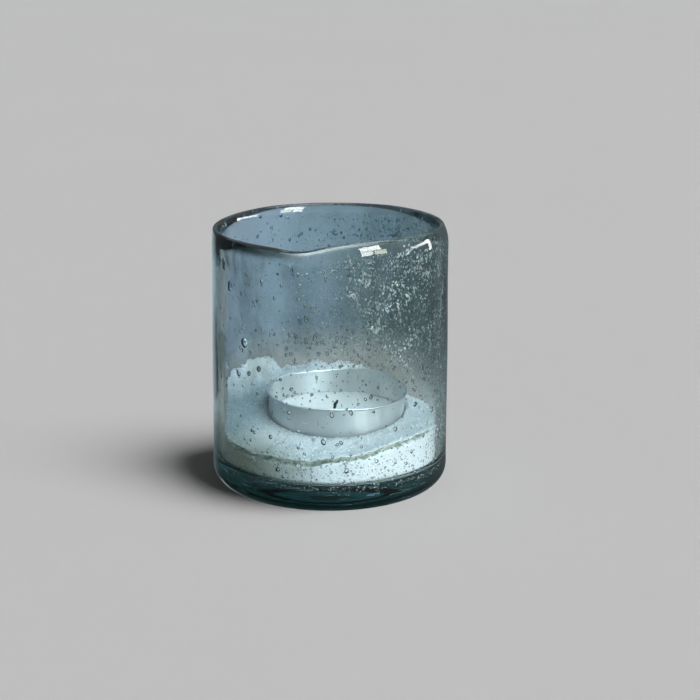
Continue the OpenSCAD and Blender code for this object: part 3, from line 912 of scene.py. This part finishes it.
    # less light comes through the bubbly upper wall than through the clear lower one
    high = nt.nodes.new("ShaderNodeMix")
    high.data_type = "RGBA"
    hz = ramp(nt, 0.026, 0.044, 0.0, 1.0)
    L.new(sx.outputs["Z"], hz.inputs["Value"])
    L.new(hz.outputs["Result"], high.inputs[0])
    L.new(ramp_of(add(sx.outputs["Z"], 10.0, 0.0), [(0.10, (0.34, 0.38, 0.38)), (0.125, (0.94, 0.945, 0.955))]), high.inputs[6])
    L.new(ramp_of(add(sx.outputs["X"], 10.0, 0.5), [(0.2, SHADE_LEFT), (0.7, SHADE_TOP)]), high.inputs[7])
    L.new(high.outputs[2], t.inputs["Color"])
    lp = nt.nodes.new("ShaderNodeLightPath")
    mx = nt.nodes.new("ShaderNodeMath")
    mx.operation = "MAXIMUM"
    L.new(lp.outputs["Is Shadow Ray"], mx.inputs[0])
    L.new(lp.outputs["Is Diffuse Ray"], mx.inputs[1])
    mix = nt.nodes.new("ShaderNodeMixShader")
    L.new(mx.outputs[0], mix.inputs[0])
    L.new(p.outputs[0], mix.inputs[1])
    L.new(t.outputs[0], mix.inputs[2])
    L.new(mix.outputs[0], out.inputs["Surface"])
    va = nt.nodes.new("ShaderNodeVolumeAbsorption")
    va.inputs["Color"].default_value = (0.07, 0.39, 0.41, 1)
    va.inputs["Density"].default_value = 45.0
    L.new(va.outputs[0], out.inputs["Volume"])
    return m


def front_left_shade_share(nt, tc):
    """0 on most of the bed, towards 1 low on the left front, where the salt is painted darker as shade."""
    L = nt.links
    d = nt.nodes.new("ShaderNodeVectorMath")
    d.operation = "DOT_PRODUCT"
    L.new(tc.outputs["Object"], d.inputs[0])
    d.inputs[1].default_value = (-0.84, -0.54, 0.0)
    a = ramp(nt, 0.026, 0.043, 0.0, 1.0)
    L.new(d.outputs["Value"], a.inputs["Value"])
    sz = nt.nodes.new("ShaderNodeSeparateXYZ")
    L.new(tc.outputs["Object"], sz.inputs[0])
    z = ramp(nt, 0.0215, 0.0255, 1.0, 0.0)
    L.new(sz.outputs["Z"], z.inputs["Value"])
    m = nt.nodes.new("ShaderNodeMath")
    m.operation = "MULTIPLY"
    L.new(a.outputs["Result"], m.inputs[0])
    L.new(z.outputs["Result"], m.inputs[1])
    return m.outputs[0]


def heap_shade_share(nt, tc):
    """Towards 1 on the heap at the back left, which is painted greyer and darker as shade."""
    L = nt.links
    d = nt.nodes.new("ShaderNodeVectorMath")
    d.operation = "DOT_PRODUCT"
    L.new(tc.outputs["Object"], d.inputs[0])
    d.inputs[1].default_value = (-0.90, 0.44, 0.0)
    n = node(nt, "ShaderNodeTexNoise", Scale=110.0, Detail=2.0)
    L.new(tc.outputs["Object"], n.inputs["Vector"])
    m0 = nt.nodes.new("ShaderNodeMath")
    m0.operation = "MULTIPLY_ADD"
    L.new(n.outputs["Fac"], m0.inputs[0])
    m0.inputs[1].default_value = 0.012
    L.new(d.outputs["Value"], m0.inputs[2])
    a = ramp(nt, 0.016, 0.034, 0.0, 1.0)
    L.new(m0.outputs[0], a.inputs["Value"])
    sz = nt.nodes.new("ShaderNodeSeparateXYZ")
    L.new(tc.outputs["Object"], sz.inputs[0])
    z = ramp(nt, 0.0210, 0.0250, 0.0, 1.0)
    L.new(sz.outputs["Z"], z.inputs["Value"])
    m = nt.nodes.new("ShaderNodeMath")
    m.operation = "MULTIPLY"
    L.new(a.outputs["Result"], m.inputs[0])
    L.new(z.outputs["Result"], m.inputs[1])
    z2 = ramp(nt, 0.0330, 0.0400, 1.0, 0.25)
    L.new(sz.outputs["Z"], z2.inputs["Value"])
    m2 = nt.nodes.new("ShaderNodeMath")
    m2.operation = "MULTIPLY"
    L.new(m.outputs[0], m2.inputs[0])
    L.new(z2.outputs["Result"], m2.inputs[1])
    return m2.outputs[0]


def salt_material():
    m, nt, out = new_material("salt_look")
    L = nt.links
    tc = nt.nodes.new("ShaderNodeTexCoord")
    p = nt.nodes.new("ShaderNodeBsdfPrincipled")
    v = node(nt, "ShaderNodeTexVoronoi", Scale=1150.0)
    L.new(tc.outputs["Object"], v.inputs["Vector"])
    n = node(nt, "ShaderNodeTexNoise", Scale=140.0, Detail=4.0)
    L.new(tc.outputs["Object"], n.inputs["Vector"])
    cr = nt.nodes.new("ShaderNodeValToRGB")
    cr.color_ramp.elements[0].position = 0.3
    cr.color_ramp.elements[0].color = (0.80, 0.82, 0.82, 1)
    cr.color_ramp.elements[1].position = 0.7
    cr.color_ramp.elements[1].color = (0.93, 0.94, 0.945, 1)
    L.new(n.outputs["Fac"], cr.inputs["Fac"])
    # painted shade: darker at the front left, low on the glass, and a little on the heap
    shade_mask = front_left_shade_share(nt, tc)
    mixc = nt.nodes.new("ShaderNodeMix")
    mixc.data_type = "RGBA"
    mixc.blend_type = "MULTIPLY"
    L.new(shade_mask, mixc.inputs[0])
    L.new(cr.outputs["Color"], mixc.inputs[6])
    mixc.inputs[7].default_value = (0.27, 0.27, 0.20, 1)
    # painted shade: the heap at the back left greyer and darker
    heap_shade = heap_shade_share(nt, tc)
    mixh = nt.nodes.new("ShaderNodeMix")
    mixh.data_type = "RGBA"
    mixh.blend_type = "MULTIPLY"
    L.new(heap_shade, mixh.inputs[0])
    L.new(mixc.outputs[2], mixh.inputs[6])
    mixh.inputs[7].default_value = (0.29, 0.36, 0.40, 1)
    L.new(mixh.outputs[2], p.inputs["Base Color"])
    r = ramp(nt, 0.0, 1.0, 0.35, 0.75)
    sep = nt.nodes.new("ShaderNodeSeparateColor")
    L.new(v.outputs["Color"], sep.inputs["Color"])
    L.new(sep.outputs[0], r.inputs["Value"])
    L.new(r.outputs["Result"], p.inputs["Roughness"])
    b = nt.nodes.new("ShaderNodeBump")
    b.inputs["Strength"].default_value = 0.6
    b.inputs["Distance"].default_value = 0.0004
    L.new(v.outputs["Distance"], b.inputs["Height"])
    L.new(b.outputs["Normal"], p.inputs["Normal"])
    p.inputs["IOR"].default_value = 1.5
    L.new(p.outputs[0], out.inputs["Surface"])
    return m


def gap_shade_material():
    # painted shade: dark olive for the sunk band under the bed's top edge against the glass
    m, nt, out = new_material("salt_gap_shade_look")
    L = nt.links
    tc = nt.nodes.new("ShaderNodeTexCoord")
    p = nt.nodes.new("ShaderNodeBsdfPrincipled")
    n = node(nt, "ShaderNodeTexNoise", Scale=420.0, Detail=4.0)
    L.new(tc.outputs["Object"], n.inputs["Vector"])
    cr = nt.nodes.new("ShaderNodeValToRGB")
    cr.color_ramp.elements[0].position = 0.35
    cr.color_ramp.elements[0].color = (0.19, 0.21, 0.16, 1)
    cr.color_ramp.elements[1].position = 0.68
    cr.color_ramp.elements[1].color = (0.62, 0.66, 0.58, 1)
    L.new(n.outputs["Fac"], cr.inputs["Fac"])
    L.new(cr.outputs["Color"], p.inputs["Base Color"])
    r = ramp(nt, 0.3, 0.7, 0.25, 0.6)
    L.new(n.outputs["Fac"], r.inputs["Value"])
    L.new(r.outputs["Result"], p.inputs["Roughness"])
    b = nt.nodes.new("ShaderNodeBump")
    b.inputs["Strength"].default_value = 0.5
    b.inputs["Distance"].default_value = 0.0003
    L.new(n.outputs["Fac"], b.inputs["Height"])
    L.new(b.outputs["Normal"], p.inputs["Normal"])
    L.new(p.outputs[0], out.inputs["Surface"])
    return m


def crystal_material():
    m, nt, out = new_material("salt_crystal_look")
    L = nt.links
    tc = nt.nodes.new("ShaderNodeTexCoord")
    p = nt.nodes.new("ShaderNodeBsdfPrincipled")
    n = node(nt, "ShaderNodeTexNoise", Scale=600.0, Detail=2.0)
    L.new(tc.outputs["Object"], n.inputs["Vector"])
    cr = nt.nodes.new("ShaderNodeValToRGB")
    cr.color_ramp.elements[0].position = 0.3
    cr.color_ramp.elements[0].color = (0.86, 0.88, 0.885, 1)
    cr.color_ramp.elements[1].position = 0.7
    cr.color_ramp.elements[1].color = (0.955, 0.96, 0.965, 1)
    L.new(n.outputs["Fac"], cr.inputs["Fac"])
    colour = cr.outputs["Color"]
    # painted shade at the front left and on the heap, as on the bed
    for share, tint in ((front_left_shade_share(nt, tc), (0.40, 0.40, 0.33, 1)), (heap_shade_share(nt, tc), (0.52, 0.60, 0.64, 1))):
        mixc = nt.nodes.new("ShaderNodeMix")
        mixc.data_type = "RGBA"
        mixc.blend_type = "MULTIPLY"
        L.new(share, mixc.inputs[0])
        L.new(colour, mixc.inputs[6])
        mixc.inputs[7].default_value = tint
        colour = mixc.outputs[2]
    L.new(colour, p.inputs["Base Color"])
    r = ramp(nt, 0.3, 0.7, 0.12, 0.4)
    L.new(n.outputs["Fac"], r.inputs["Value"])
    L.new(r.outputs["Result"], p.inputs["Roughness"])
    p.inputs["IOR"].default_value = 1.54
    L.new(p.outputs[0], out.inputs["Surface"])
    return m


def foil_material():
    m, nt, out = new_material("cup_foil_look")
    L = nt.links
    tc = nt.nodes.new("ShaderNodeTexCoord")
    p = nt.nodes.new("ShaderNodeBsdfPrincipled")
    p.inputs["Metallic"].default_value = 1.0
    mp = nt.nodes.new("ShaderNodeMapping")
    mp.inputs["Scale"].default_value = (420, 420, 30)
    L.new(tc.outputs["Object"], mp.inputs["Vector"])
    n = node(nt, "ShaderNodeTexNoise", Scale=1.0, Detail=3.0)
    L.new(mp.outputs["Vector"], n.inputs["Vector"])
    n2 = node(nt, "ShaderNodeTexNoise", Scale=90.0, Detail=3.0)
    L.new(tc.outputs["Object"], n2.inputs["Vector"])
    cr = nt.nodes.new("ShaderNodeValToRGB")
    cr.color_ramp.elements[0].position = 0.3
    cr.color_ramp.elements[0].color = (0.58, 0.60, 0.61, 1)
    cr.color_ramp.elements[1].position = 0.7
    cr.color_ramp.elements[1].color = (0.70, 0.72, 0.73, 1)
    L.new(n2.outputs["Fac"], cr.inputs["Fac"])
    L.new(cr.outputs["Color"], p.inputs["Base Color"])
    r = ramp(nt, 0.3, 0.7, 0.36, 0.52)
    L.new(n.outputs["Fac"], r.inputs["Value"])
    L.new(r.outputs["Result"], p.inputs["Roughness"])
    b = nt.nodes.new("ShaderNodeBump")
    b.inputs["Strength"].default_value = 0.2
    b.inputs["Distance"].default_value = 0.0001
    L.new(n.outputs["Fac"], b.inputs["Height"])
    L.new(b.outputs["Normal"], p.inputs["Normal"])
    L.new(p.outputs[0], out.inputs["Surface"])
    return m


def wax_material():
    m, nt, out = new_material("wax_look")
    L = nt.links
    tc = nt.nodes.new("ShaderNodeTexCoord")
    p = nt.nodes.new("ShaderNodeBsdfPrincipled")
    n = node(nt, "ShaderNodeTexNoise", Scale=130.0, Detail=4.0)
    L.new(tc.outputs["Object"], n.inputs["Vector"])
    cr = nt.nodes.new("ShaderNodeValToRGB")
    cr.color_ramp.elements[0].position = 0.25
    cr.color_ramp.elements[0].color = (0.88, 0.88, 0.86, 1)
    cr.color_ramp.elements[1].position = 0.75
    cr.color_ramp.elements[1].color = (0.95, 0.95, 0.94, 1)
    L.new(n.outputs["Fac"], cr.inputs["Fac"])
    L.new(cr.outputs["Color"], p.inputs["Base Color"])
    r = ramp(nt, 0.3, 0.7, 0.28, 0.5)
    L.new(n.outputs["Fac"], r.inputs["Value"])
    L.new(r.outputs["Result"], p.inputs["Roughness"])
    n2 = node(nt, "ShaderNodeTexNoise", Scale=420.0, Detail=2.0)
    L.new(tc.outputs["Object"], n2.inputs["Vector"])
    b = nt.nodes.new("ShaderNodeBump")
    b.inputs["Strength"].default_value = 0.15
    b.inputs["Distance"].default_value = 0.0002
    L.new(n2.outputs["Fac"], b.inputs["Height"])
    L.new(b.outputs["Normal"], p.inputs["Normal"])
    p.inputs["Subsurface Weight"].default_value = 0.5
    p.inputs["Subsurface Radius"].default_value = (1.0, 0.9, 0.75)
    p.inputs["Subsurface Scale"].default_value = 0.003
    p.inputs["IOR"].default_value = 1.44
    L.new(p.outputs[0], out.inputs["Surface"])
    return m


def wick_material():
    m, nt, out = new_material("wick_look")
    L = nt.links
    tc = nt.nodes.new("ShaderNodeTexCoord")
    p = nt.nodes.new("ShaderNodeBsdfPrincipled")
    sep = nt.nodes.new("ShaderNodeSeparateXYZ")
    L.new(tc.outputs["Object"], sep.inputs[0])
    n = node(nt, "ShaderNodeTexNoise", Scale=1500.0, Detail=3.0)
    L.new(tc.outputs["Object"], n.inputs["Vector"])
    add = nt.nodes.new("ShaderNodeMath")
    add.operation = "MULTIPLY_ADD"
    L.new(n.outputs["Fac"], add.inputs[0])
    add.inputs[1].default_value = 0.0012
    L.new(sep.outputs["Z"], add.inputs[2])
    r = ramp(nt, 0.0258, 0.0275, 0.0, 1.0)
    L.new(add.outputs[0], r.inputs["Value"])
    cr = nt.nodes.new("ShaderNodeValToRGB")
    cr.color_ramp.elements[0].position = 0.0
    cr.color_ramp.elements[0].color = (0.55, 0.52, 0.46, 1)
    cr.color_ramp.elements[1].position = 1.0
    cr.color_ramp.elements[1].color = (0.012, 0.011, 0.012, 1)
    e = cr.color_ramp.elements.new(0.45)
    e.color = (0.07, 0.055, 0.045, 1)
    L.new(r.outputs["Result"], cr.inputs["Fac"])
    L.new(cr.outputs["Color"], p.inputs["Base Color"])
    r2 = ramp(nt, 0.3, 0.7, 0.6, 0.95)
    L.new(n.outputs["Fac"], r2.inputs["Value"])
    L.new(r2.outputs["Result"], p.inputs["Roughness"])
    b = nt.nodes.new("ShaderNodeBump")
    b.inputs["Strength"].default_value = 0.7
    b.inputs["Distance"].default_value = 0.0001
    L.new(n.outputs["Fac"], b.inputs["Height"])
    L.new(b.outputs["Normal"], p.inputs["Normal"])
    L.new(p.outputs[0], out.inputs["Surface"])
    return m


def tin_material():
    m, nt, out = new_material("sustainer_look")
    L = nt.links
    tc = nt.nodes.new("ShaderNodeTexCoord")
    p = nt.nodes.new("ShaderNodeBsdfPrincipled")
    p.inputs["Metallic"].default_value = 1.0
    n = node(nt, "ShaderNodeTexNoise", Scale=900.0, Detail=4.0)
    L.new(tc.outputs["Object"], n.inputs["Vector"])
    cr = nt.nodes.new("ShaderNodeValToRGB")
    cr.color_ramp.elements[0].color = (0.50, 0.50, 0.49, 1)
    cr.color_ramp.elements[1].color = (0.70, 0.70, 0.69, 1)
    L.new(n.outputs["Fac"], cr.inputs["Fac"])
    L.new(cr.outputs["Color"], p.inputs["Base Color"])
    r = ramp(nt, 0.3, 0.7, 0.3, 0.5)
    L.new(n.outputs["Fac"], r.inputs["Value"])
    L.new(r.outputs["Result"], p.inputs["Roughness"])
    L.new(p.outputs[0], out.inputs["Surface"])
    return m


def floor_material():
    m, nt, out = new_material("floor_look")
    L = nt.links
    tc = nt.nodes.new("ShaderNodeTexCoord")
    p = nt.nodes.new("ShaderNodeBsdfPrincipled")
    n = node(nt, "ShaderNodeTexNoise", Scale=3.0, Detail=2.0)
    L.new(tc.outputs["Object"], n.inputs["Vector"])
    cr = nt.nodes.new("ShaderNodeValToRGB")
    cr.color_ramp.elements[0].color = (FLOOR_A * 0.99,) * 3 + (1,)
    cr.color_ramp.elements[1].color = (FLOOR_A * 1.01,) * 3 + (1,)
    L.new(n.outputs["Fac"], cr.inputs["Fac"])
    L.new(cr.outputs["Color"], p.inputs["Base Color"])
    p.inputs["Roughness"].default_value = 0.9
    p.inputs["Specular IOR Level"].default_value = 0.1
    L.new(p.outputs[0], out.inputs["Surface"])
    return m


def seed_and_glint_material():
    m, nt, out = new_material("seed_and_glint_look")
    L = nt.links
    tc = nt.nodes.new("ShaderNodeTexCoord")
    p = nt.nodes.new("ShaderNodeBsdfPrincipled")
    n = node(nt, "ShaderNodeTexNoise", Scale=260.0, Detail=2.0)
    L.new(tc.outputs["Object"], n.inputs["Vector"])
    # the near-white end of this ramp is painted highlight, standing in for glints on the bubbles; the grey and pale
    # rest is the grains' own tone
    cr = nt.nodes.new("ShaderNodeValToRGB")
    cr.color_ramp.elements[0].position = 0.3
    cr.color_ramp.elements[0].color = (0.28, 0.33, 0.33, 1)
    cr.color_ramp.elements[1].position = 0.7
    cr.color_ramp.elements[1].color = (0.96, 0.98, 0.98, 1)
    e = cr.color_ramp.elements.new(0.58)
    e.color = (0.58, 0.63, 0.62, 1)
    L.new(n.outputs["Fac"], cr.inputs["Fac"])
    nb = node(nt, "ShaderNodeTexNoise", Scale=75.0, Detail=2.0)
    L.new(tc.outputs["Object"], nb.inputs["Vector"])
    rb = ramp(nt, 0.40, 0.60, 0.80, 0.0)
    L.new(nb.outputs["Fac"], rb.inputs["Value"])
    faint = nt.nodes.new("ShaderNodeMix")
    faint.data_type = "RGBA"
    faint.blend_type = "MULTIPLY"
    L.new(rb.outputs["Result"], faint.inputs[0])
    L.new(cr.outputs["Color"], faint.inputs[6])
    faint.inputs[7].default_value = (0.42, 0.46, 0.46, 1)
    L.new(faint.outputs[2], p.inputs["Base Color"])
    r = ramp(nt, 0.3, 0.7, 0.25, 0.6)
    L.new(n.outputs["Fac"], r.inputs["Value"])
    L.new(r.outputs["Result"], p.inputs["Roughness"])
    L.new(p.outputs[0], out.inputs["Surface"])
    return m


FLOOR_A = 0.36
# the paler lower wall: partly clearer glass, partly painted light
LOW_LIGHT_TINT = [(0.10, (0.80, 0.84, 0.82)), (0.42, (0.90, 0.94, 0.96)), (0.72, (0.98, 0.98, 0.98))]
TINT_FRONT = (1.0, 1.0, 1.0)
# painted shade: a darker, bluer back wall and glass that darkens towards the right
BACK_SHADE_TINT = (0.58, 0.81, 1.0)
ACROSS_SHADE_TINT = [(0.08, (0.84, 0.86, 0.90)), (0.19, (0.96, 0.97, 0.99)), (0.38, (1.0, 1.0, 1.0)), (0.57, (0.90, 0.92, 0.91)), (0.75, (0.67, 0.70, 0.67)), (0.92, (0.43, 0.47, 0.44))]
# painted shade at the right edge of the glass
EDGE_RIGHT_SHADE = (0.52, 0.60, 0.60)
SHADE_TOP = (0.68, 0.71, 0.73)
SHADE_LEFT = (0.34, 0.36, 0.37)

# ---------------------------------------------------------------- camera
cam_data = bpy.data.cameras.new("camera")
cam = bpy.data.objects.new("camera", cam_data)
bpy.context.scene.collection.objects.link(cam)
cam.location = (0.0, -0.665, 0.2392)
cam.rotation_euler = (math.radians(90 - 15.6), 0.0, 0.0)
cam_data.sensor_width = 36.0
cam_data.lens = 1685.0 / 700.0 * 36.0
cam_data.shift_x = 20.3 / 700.0
cam_data.shift_y = 1.2 / 700.0
cam_data.clip_start = 0.01
cam_data.clip_end = 50.0
bpy.context.scene.camera = cam

# ---------------------------------------------------------------- stage and light
fm = bpy.data.meshes.new("floor")
fm.from_pydata([(-15, -15, 0), (15, -15, 0), (15, 15, 0), (-15, 15, 0)], [], [(0, 1, 2, 3)])
floor = bpy.data.objects.new("floor", fm)
bpy.context.scene.collection.objects.link(floor)
fm.materials.append(floor_material())
# the things in the photo stand against a darker room than the floor behind them shows
floor.visible_glossy = False

world = bpy.data.worlds.new("world")
world.use_nodes = True
bg = world.node_tree.nodes["Background"]
bg.inputs["Strength"].default_value = 1.0
wt = world.node_tree
w_tc = wt.nodes.new("ShaderNodeTexCoord")
w_dot = wt.nodes.new("ShaderNodeVectorMath")
w_dot.operation = "DOT_PRODUCT"
wt.links.new(w_tc.outputs["Generated"], w_dot.inputs[0])
w_dot.inputs[1].default_value = Vector((0.40, -0.22, 0.89)).normalized()
w_cr = wt.nodes.new("ShaderNodeValToRGB")
w_map = wt.nodes.new("ShaderNodeMapRange")
w_map.inputs["From Min"].default_value = -1.0
wt.links.new(w_dot.outputs["Value"], w_map.inputs["Value"])
wt.links.new(w_map.outputs["Result"], w_cr.inputs["Fac"])
w_cr.color_ramp.interpolation = "EASE"
w_cr.color_ramp.elements[0].position = 0.25
w_cr.color_ramp.elements[0].color = (0.10, 0.125, 0.135, 1)
w_cr.color_ramp.elements[1].position = 0.85
w_cr.color_ramp.elements[1].color = (0.42, 0.46, 0.48, 1)
w_low = w_cr.color_ramp.elements.new(0.08)
w_low.color = (0.04, 0.055, 0.055, 1)
# a paler patch behind on the left, which the left edge of the glass picks up
w_dot2 = wt.nodes.new("ShaderNodeVectorMath")
w_dot2.operation = "DOT_PRODUCT"
wt.links.new(w_tc.outputs["Generated"], w_dot2.inputs[0])
w_dot2.inputs[1].default_value = Vector((-0.30, 0.92, -0.27)).normalized()
w_patch = wt.nodes.new("ShaderNodeMapRange")
w_patch.inputs["From Min"].default_value = 0.94
w_patch.inputs["From Max"].default_value = 0.99
w_patch.inputs["To Max"].default_value = 0.54
wt.links.new(w_dot2.outputs["Value"], w_patch.inputs["Value"])
w_add = wt.nodes.new("ShaderNodeMix")
w_add.data_type = "RGBA"
w_add.blend_type = "ADD"
w_add.inputs[7].default_value = (0.80, 0.97, 1.06, 1)
# broken by a dark band low down, with a thin pale line under it
w_xyz = wt.nodes.new("ShaderNodeSeparateXYZ")
wt.links.new(w_tc.outputs["Generated"], w_xyz.inputs[0])
w_line = wt.nodes.new("ShaderNodeMapRange")
w_line.inputs["From Min"].default_value = -1.0
wt.links.new(w_xyz.outputs["Z"], w_line.inputs["Value"])
w_band = wt.nodes.new("ShaderNodeValToRGB")
w_band.color_ramp.elements[0].position = 0.20
w_band.color_ramp.elements[0].color = (0, 0, 0, 1)
w_band.color_ramp.elements[1].position = 0.352
w_band.color_ramp.elements[1].color = (1, 1, 1, 1)
for at, level in ((0.235, 1.6), (0.265, 1.6), (0.285, 0.12), (0.341, 0.12)):
    w_band.color_ramp.elements.new(at).color = (level, level, level, 1)
wt.links.new(w_line.outputs["Result"], w_band.inputs["Fac"])
w_both = wt.nodes.new("ShaderNodeMath")
w_both.operation = "MULTIPLY"
wt.links.new(w_patch.outputs["Result"], w_both.inputs[0])
wt.links.new(w_band.outputs["Color"], w_both.inputs[1])
wt.links.new(w_both.outputs[0], w_add.inputs[0])
wt.links.new(w_cr.outputs["Color"], w_add.inputs[6])
wt.links.new(w_add.outputs[2], bg.inputs["Color"])
bpy.context.scene.world = world
world.cycles_visibility.diffuse = False


def area_light(name, at, size, power, color=(1, 1, 1), aim=(0, 0, 0.05), shape="RECTANGLE", size_y=None, spread=180):
    d = bpy.data.lights.new(name, "AREA")
    d.shape = shape
    d.size = size
    if size_y is not None:
        d.size_y = size_y
    d.energy = power
    d.color = color
    d.spread = math.radians(spread)
    o = bpy.data.objects.new(name, d)
    bpy.context.scene.collection.objects.link(o)
    o.location = at
    o.rotation_euler = (Vector(aim) - Vector(at)).to_track_quat("-Z", "Y").to_euler()
    return o


# a window of four panes to the right of the camera and a broad pane overhead; both only show as reflections in the glass
kd = Vector((0.60, -0.67, 0.44)).normalized() * 3.0
side = Vector((0.67, 0.60, 0.0)).normalized()
up = Vector((-0.264, 0.295, 0.918))
pane = kd + side * 0.05 - up * 0.08
for name, at, wide, high, power, colour in [
        ("window_upper", pane + up * 0.34 - side * 0.10, 1.06, 0.62, 40.0, (0.95, 0.985, 1.0)),
        ("window_lower_left", pane - up * 0.34 - side * 0.34, 0.56, 0.60, 17.0, (0.95, 0.99, 0.95)),
        ("window_lower_right", pane - up * 0.32 + side * 0.32, 0.60, 0.60, 12.0, (0.93, 1.0, 0.72)),
        ("window_side", Vector((0.95, 0.16, 0.22)) * 2.8, 1.4, 0.26, 14.0, (0.97, 0.98, 1.0)),
        ("window_side_post", Vector((0.97, 0.40, 0.10)) * 2.7, 0.26, 0.80, 7.0, (0.97, 0.98, 1.0)),
        ("gleam_low", Vector((0.967, -1.085, -0.513)), 0.34, 0.031, 0.11, (0.42, 0.66, 1.0)),
        ("window_high", Vector((0.30, -0.30, 1.0)) * 2.5, 1.5, 1.2, 9.0, (0.93, 0.98, 1.0))]:
    o = area_light(name, at, wide, power, colour, size_y=high)
    o.visible_diffuse = False

sun = bpy.data.objects.new("high_light", bpy.data.lights.new("high_light", "SUN"))
sun.data.energy = 3.45
sun.data.angle = math.radians(62)
sun.data.color = (0.88, 1.0, 1.06)
sun.rotation_euler = (Vector((0, 0, 0)) - Vector((0.20, -0.20, 0.96))).to_track_quat("-Z", "Y").to_euler()
bpy.context.scene.collection.objects.link(sun)
low_fill = area_light("low_fill", Vector((0.66, -0.72, 0.20)) * 2.0, 0.9, 40.0, (0.97, 0.99, 1.0), aim=(0, 0, 0.02), size_y=0.35)
low_fill.visible_glossy = False
soft = bpy.data.objects.new("soft_fill", bpy.data.lights.new("soft_fill", "SUN"))
soft.data.energy = 1.55
soft.data.angle = math.radians(150)
soft.data.color = (0.80, 1.0, 1.09)
soft.rotation_euler = (Vector((0, 0, 0)) - Vector((0.05, -0.25, 0.95))).to_track_quat("-Z", "Y").to_euler()
bpy.context.scene.collection.objects.link(soft)
# the floor has a light of its own, so that only what stands in the glass shades it
floor_sun = bpy.data.objects.new("floor_light", bpy.data.lights.new("floor_light", "SUN"))
floor_sun.data.energy = 6.45
floor_sun.data.angle = math.radians(50)
floor_sun.rotation_euler = (Vector((0, 0, 0)) - Vector((0.74, -0.17, 0.625))).to_track_quat("-Z", "Y").to_euler()
bpy.context.scene.collection.objects.link(floor_sun)

floor_soft = bpy.data.objects.new("floor_soft", bpy.data.lights.new("floor_soft", "SUN"))
floor_soft.data.energy = 0.34
floor_soft.data.angle = math.radians(160)
bpy.context.scene.collection.objects.link(floor_soft)

# ---------------------------------------------------------------- build
glass_mat = glass_material()
sv, sf = glass_shell(200)
bv, bf = bubble_mesh()
verts = np.concatenate([sv, bv])
faces = sf + [tuple(int(i) for i in f) for f in (bf + len(sv))]
glass = mesh_object("glass_bubbled", verts, faces, [glass_mat])
print("glass faces", len(faces), "bubbles", len(scatter_bubbles()))
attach(glass, "vessel")
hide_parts("glass_tumbler")

v, f = seed_mesh()
seeds = mesh_object("glass_seeds", v, [tuple(int(i) for i in q) for q in f], [seed_and_glint_material()])
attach(seeds, "vessel")

salt_mat, crystal_mat = salt_material(), crystal_material()
v1, f1, k1 = salt_body(420, 34)
v2, f2 = crystals(6500)
nv = len(v1)
faces = f1 + [tuple(int(i) for i in f) for f in (f2 + nv)]
idx = k1 + [1] * len(f2)
salt = mesh_object("salt_heaped", np.concatenate([v1, v2]), faces, [salt_mat, crystal_mat, gap_shade_material()], mat_index=idx)
flags = np.ones(len(faces), bool)
flags[len(f1):] = False
salt.data.polygons.foreach_set("use_smooth", flags)
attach(salt, "vessel")
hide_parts("salt_bed")

v, f = cup_mesh()
cup = mesh_object("cup_foil", v, f, [foil_material()])
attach(cup, "tealight")
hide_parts("tealight_cup")

v, f = wax_mesh()
wax = mesh_object("wax_burnt_down", v, f, [wax_material()])
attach(wax, "tealight")
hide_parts("tealight_wax")

v, f = wick_mesh()
wick = mesh_object("wick_braided", v, f, [wick_material()])
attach(wick, "tealight")
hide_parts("wick")

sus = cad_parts["wick_sustainer"]
for s in sus.material_slots:
    s.material = tin_material()

# ---------------------------------------------------------------- which light falls on what
only_floor = bpy.data.collections.new("lit_floor")
only_floor.objects.link(floor)
only_things = bpy.data.collections.new("lit_things")
in_the_way = bpy.data.collections.new("shade_floor")
for o in (glass, seeds, salt, cup, wax, wick, sus):
    only_things.objects.link(o)
for o in (salt, cup, wax, wick):
    in_the_way.objects.link(o)
floor_sun.light_linking.receiver_collection = only_floor
floor_soft.light_linking.receiver_collection = only_floor
floor_soft.light_linking.blocker_collection = in_the_way
floor_sun.light_linking.blocker_collection = in_the_way
sun.light_linking.receiver_collection = only_things
low_fill.light_linking.receiver_collection = only_things
soft.light_linking.receiver_collection = only_things

# ---------------------------------------------------------------- settings
sc = bpy.context.scene
sc.view_settings.view_transform = "Standard"
sc.view_settings.look = "None"
sc.cycles.max_bounces = 32
sc.cycles.transmission_bounces = 28
sc.cycles.glossy_bounces = 10
sc.cycles.diffuse_bounces = 4
sc.cycles.transparent_max_bounces = 48
sc.cycles.volume_bounces = 0
sc.cycles.caustics_refractive = False
sc.cycles.caustics_reflective = False
sc.cycles.sample_clamp_indirect = 6.0
sc.cycles.use_denoising = True
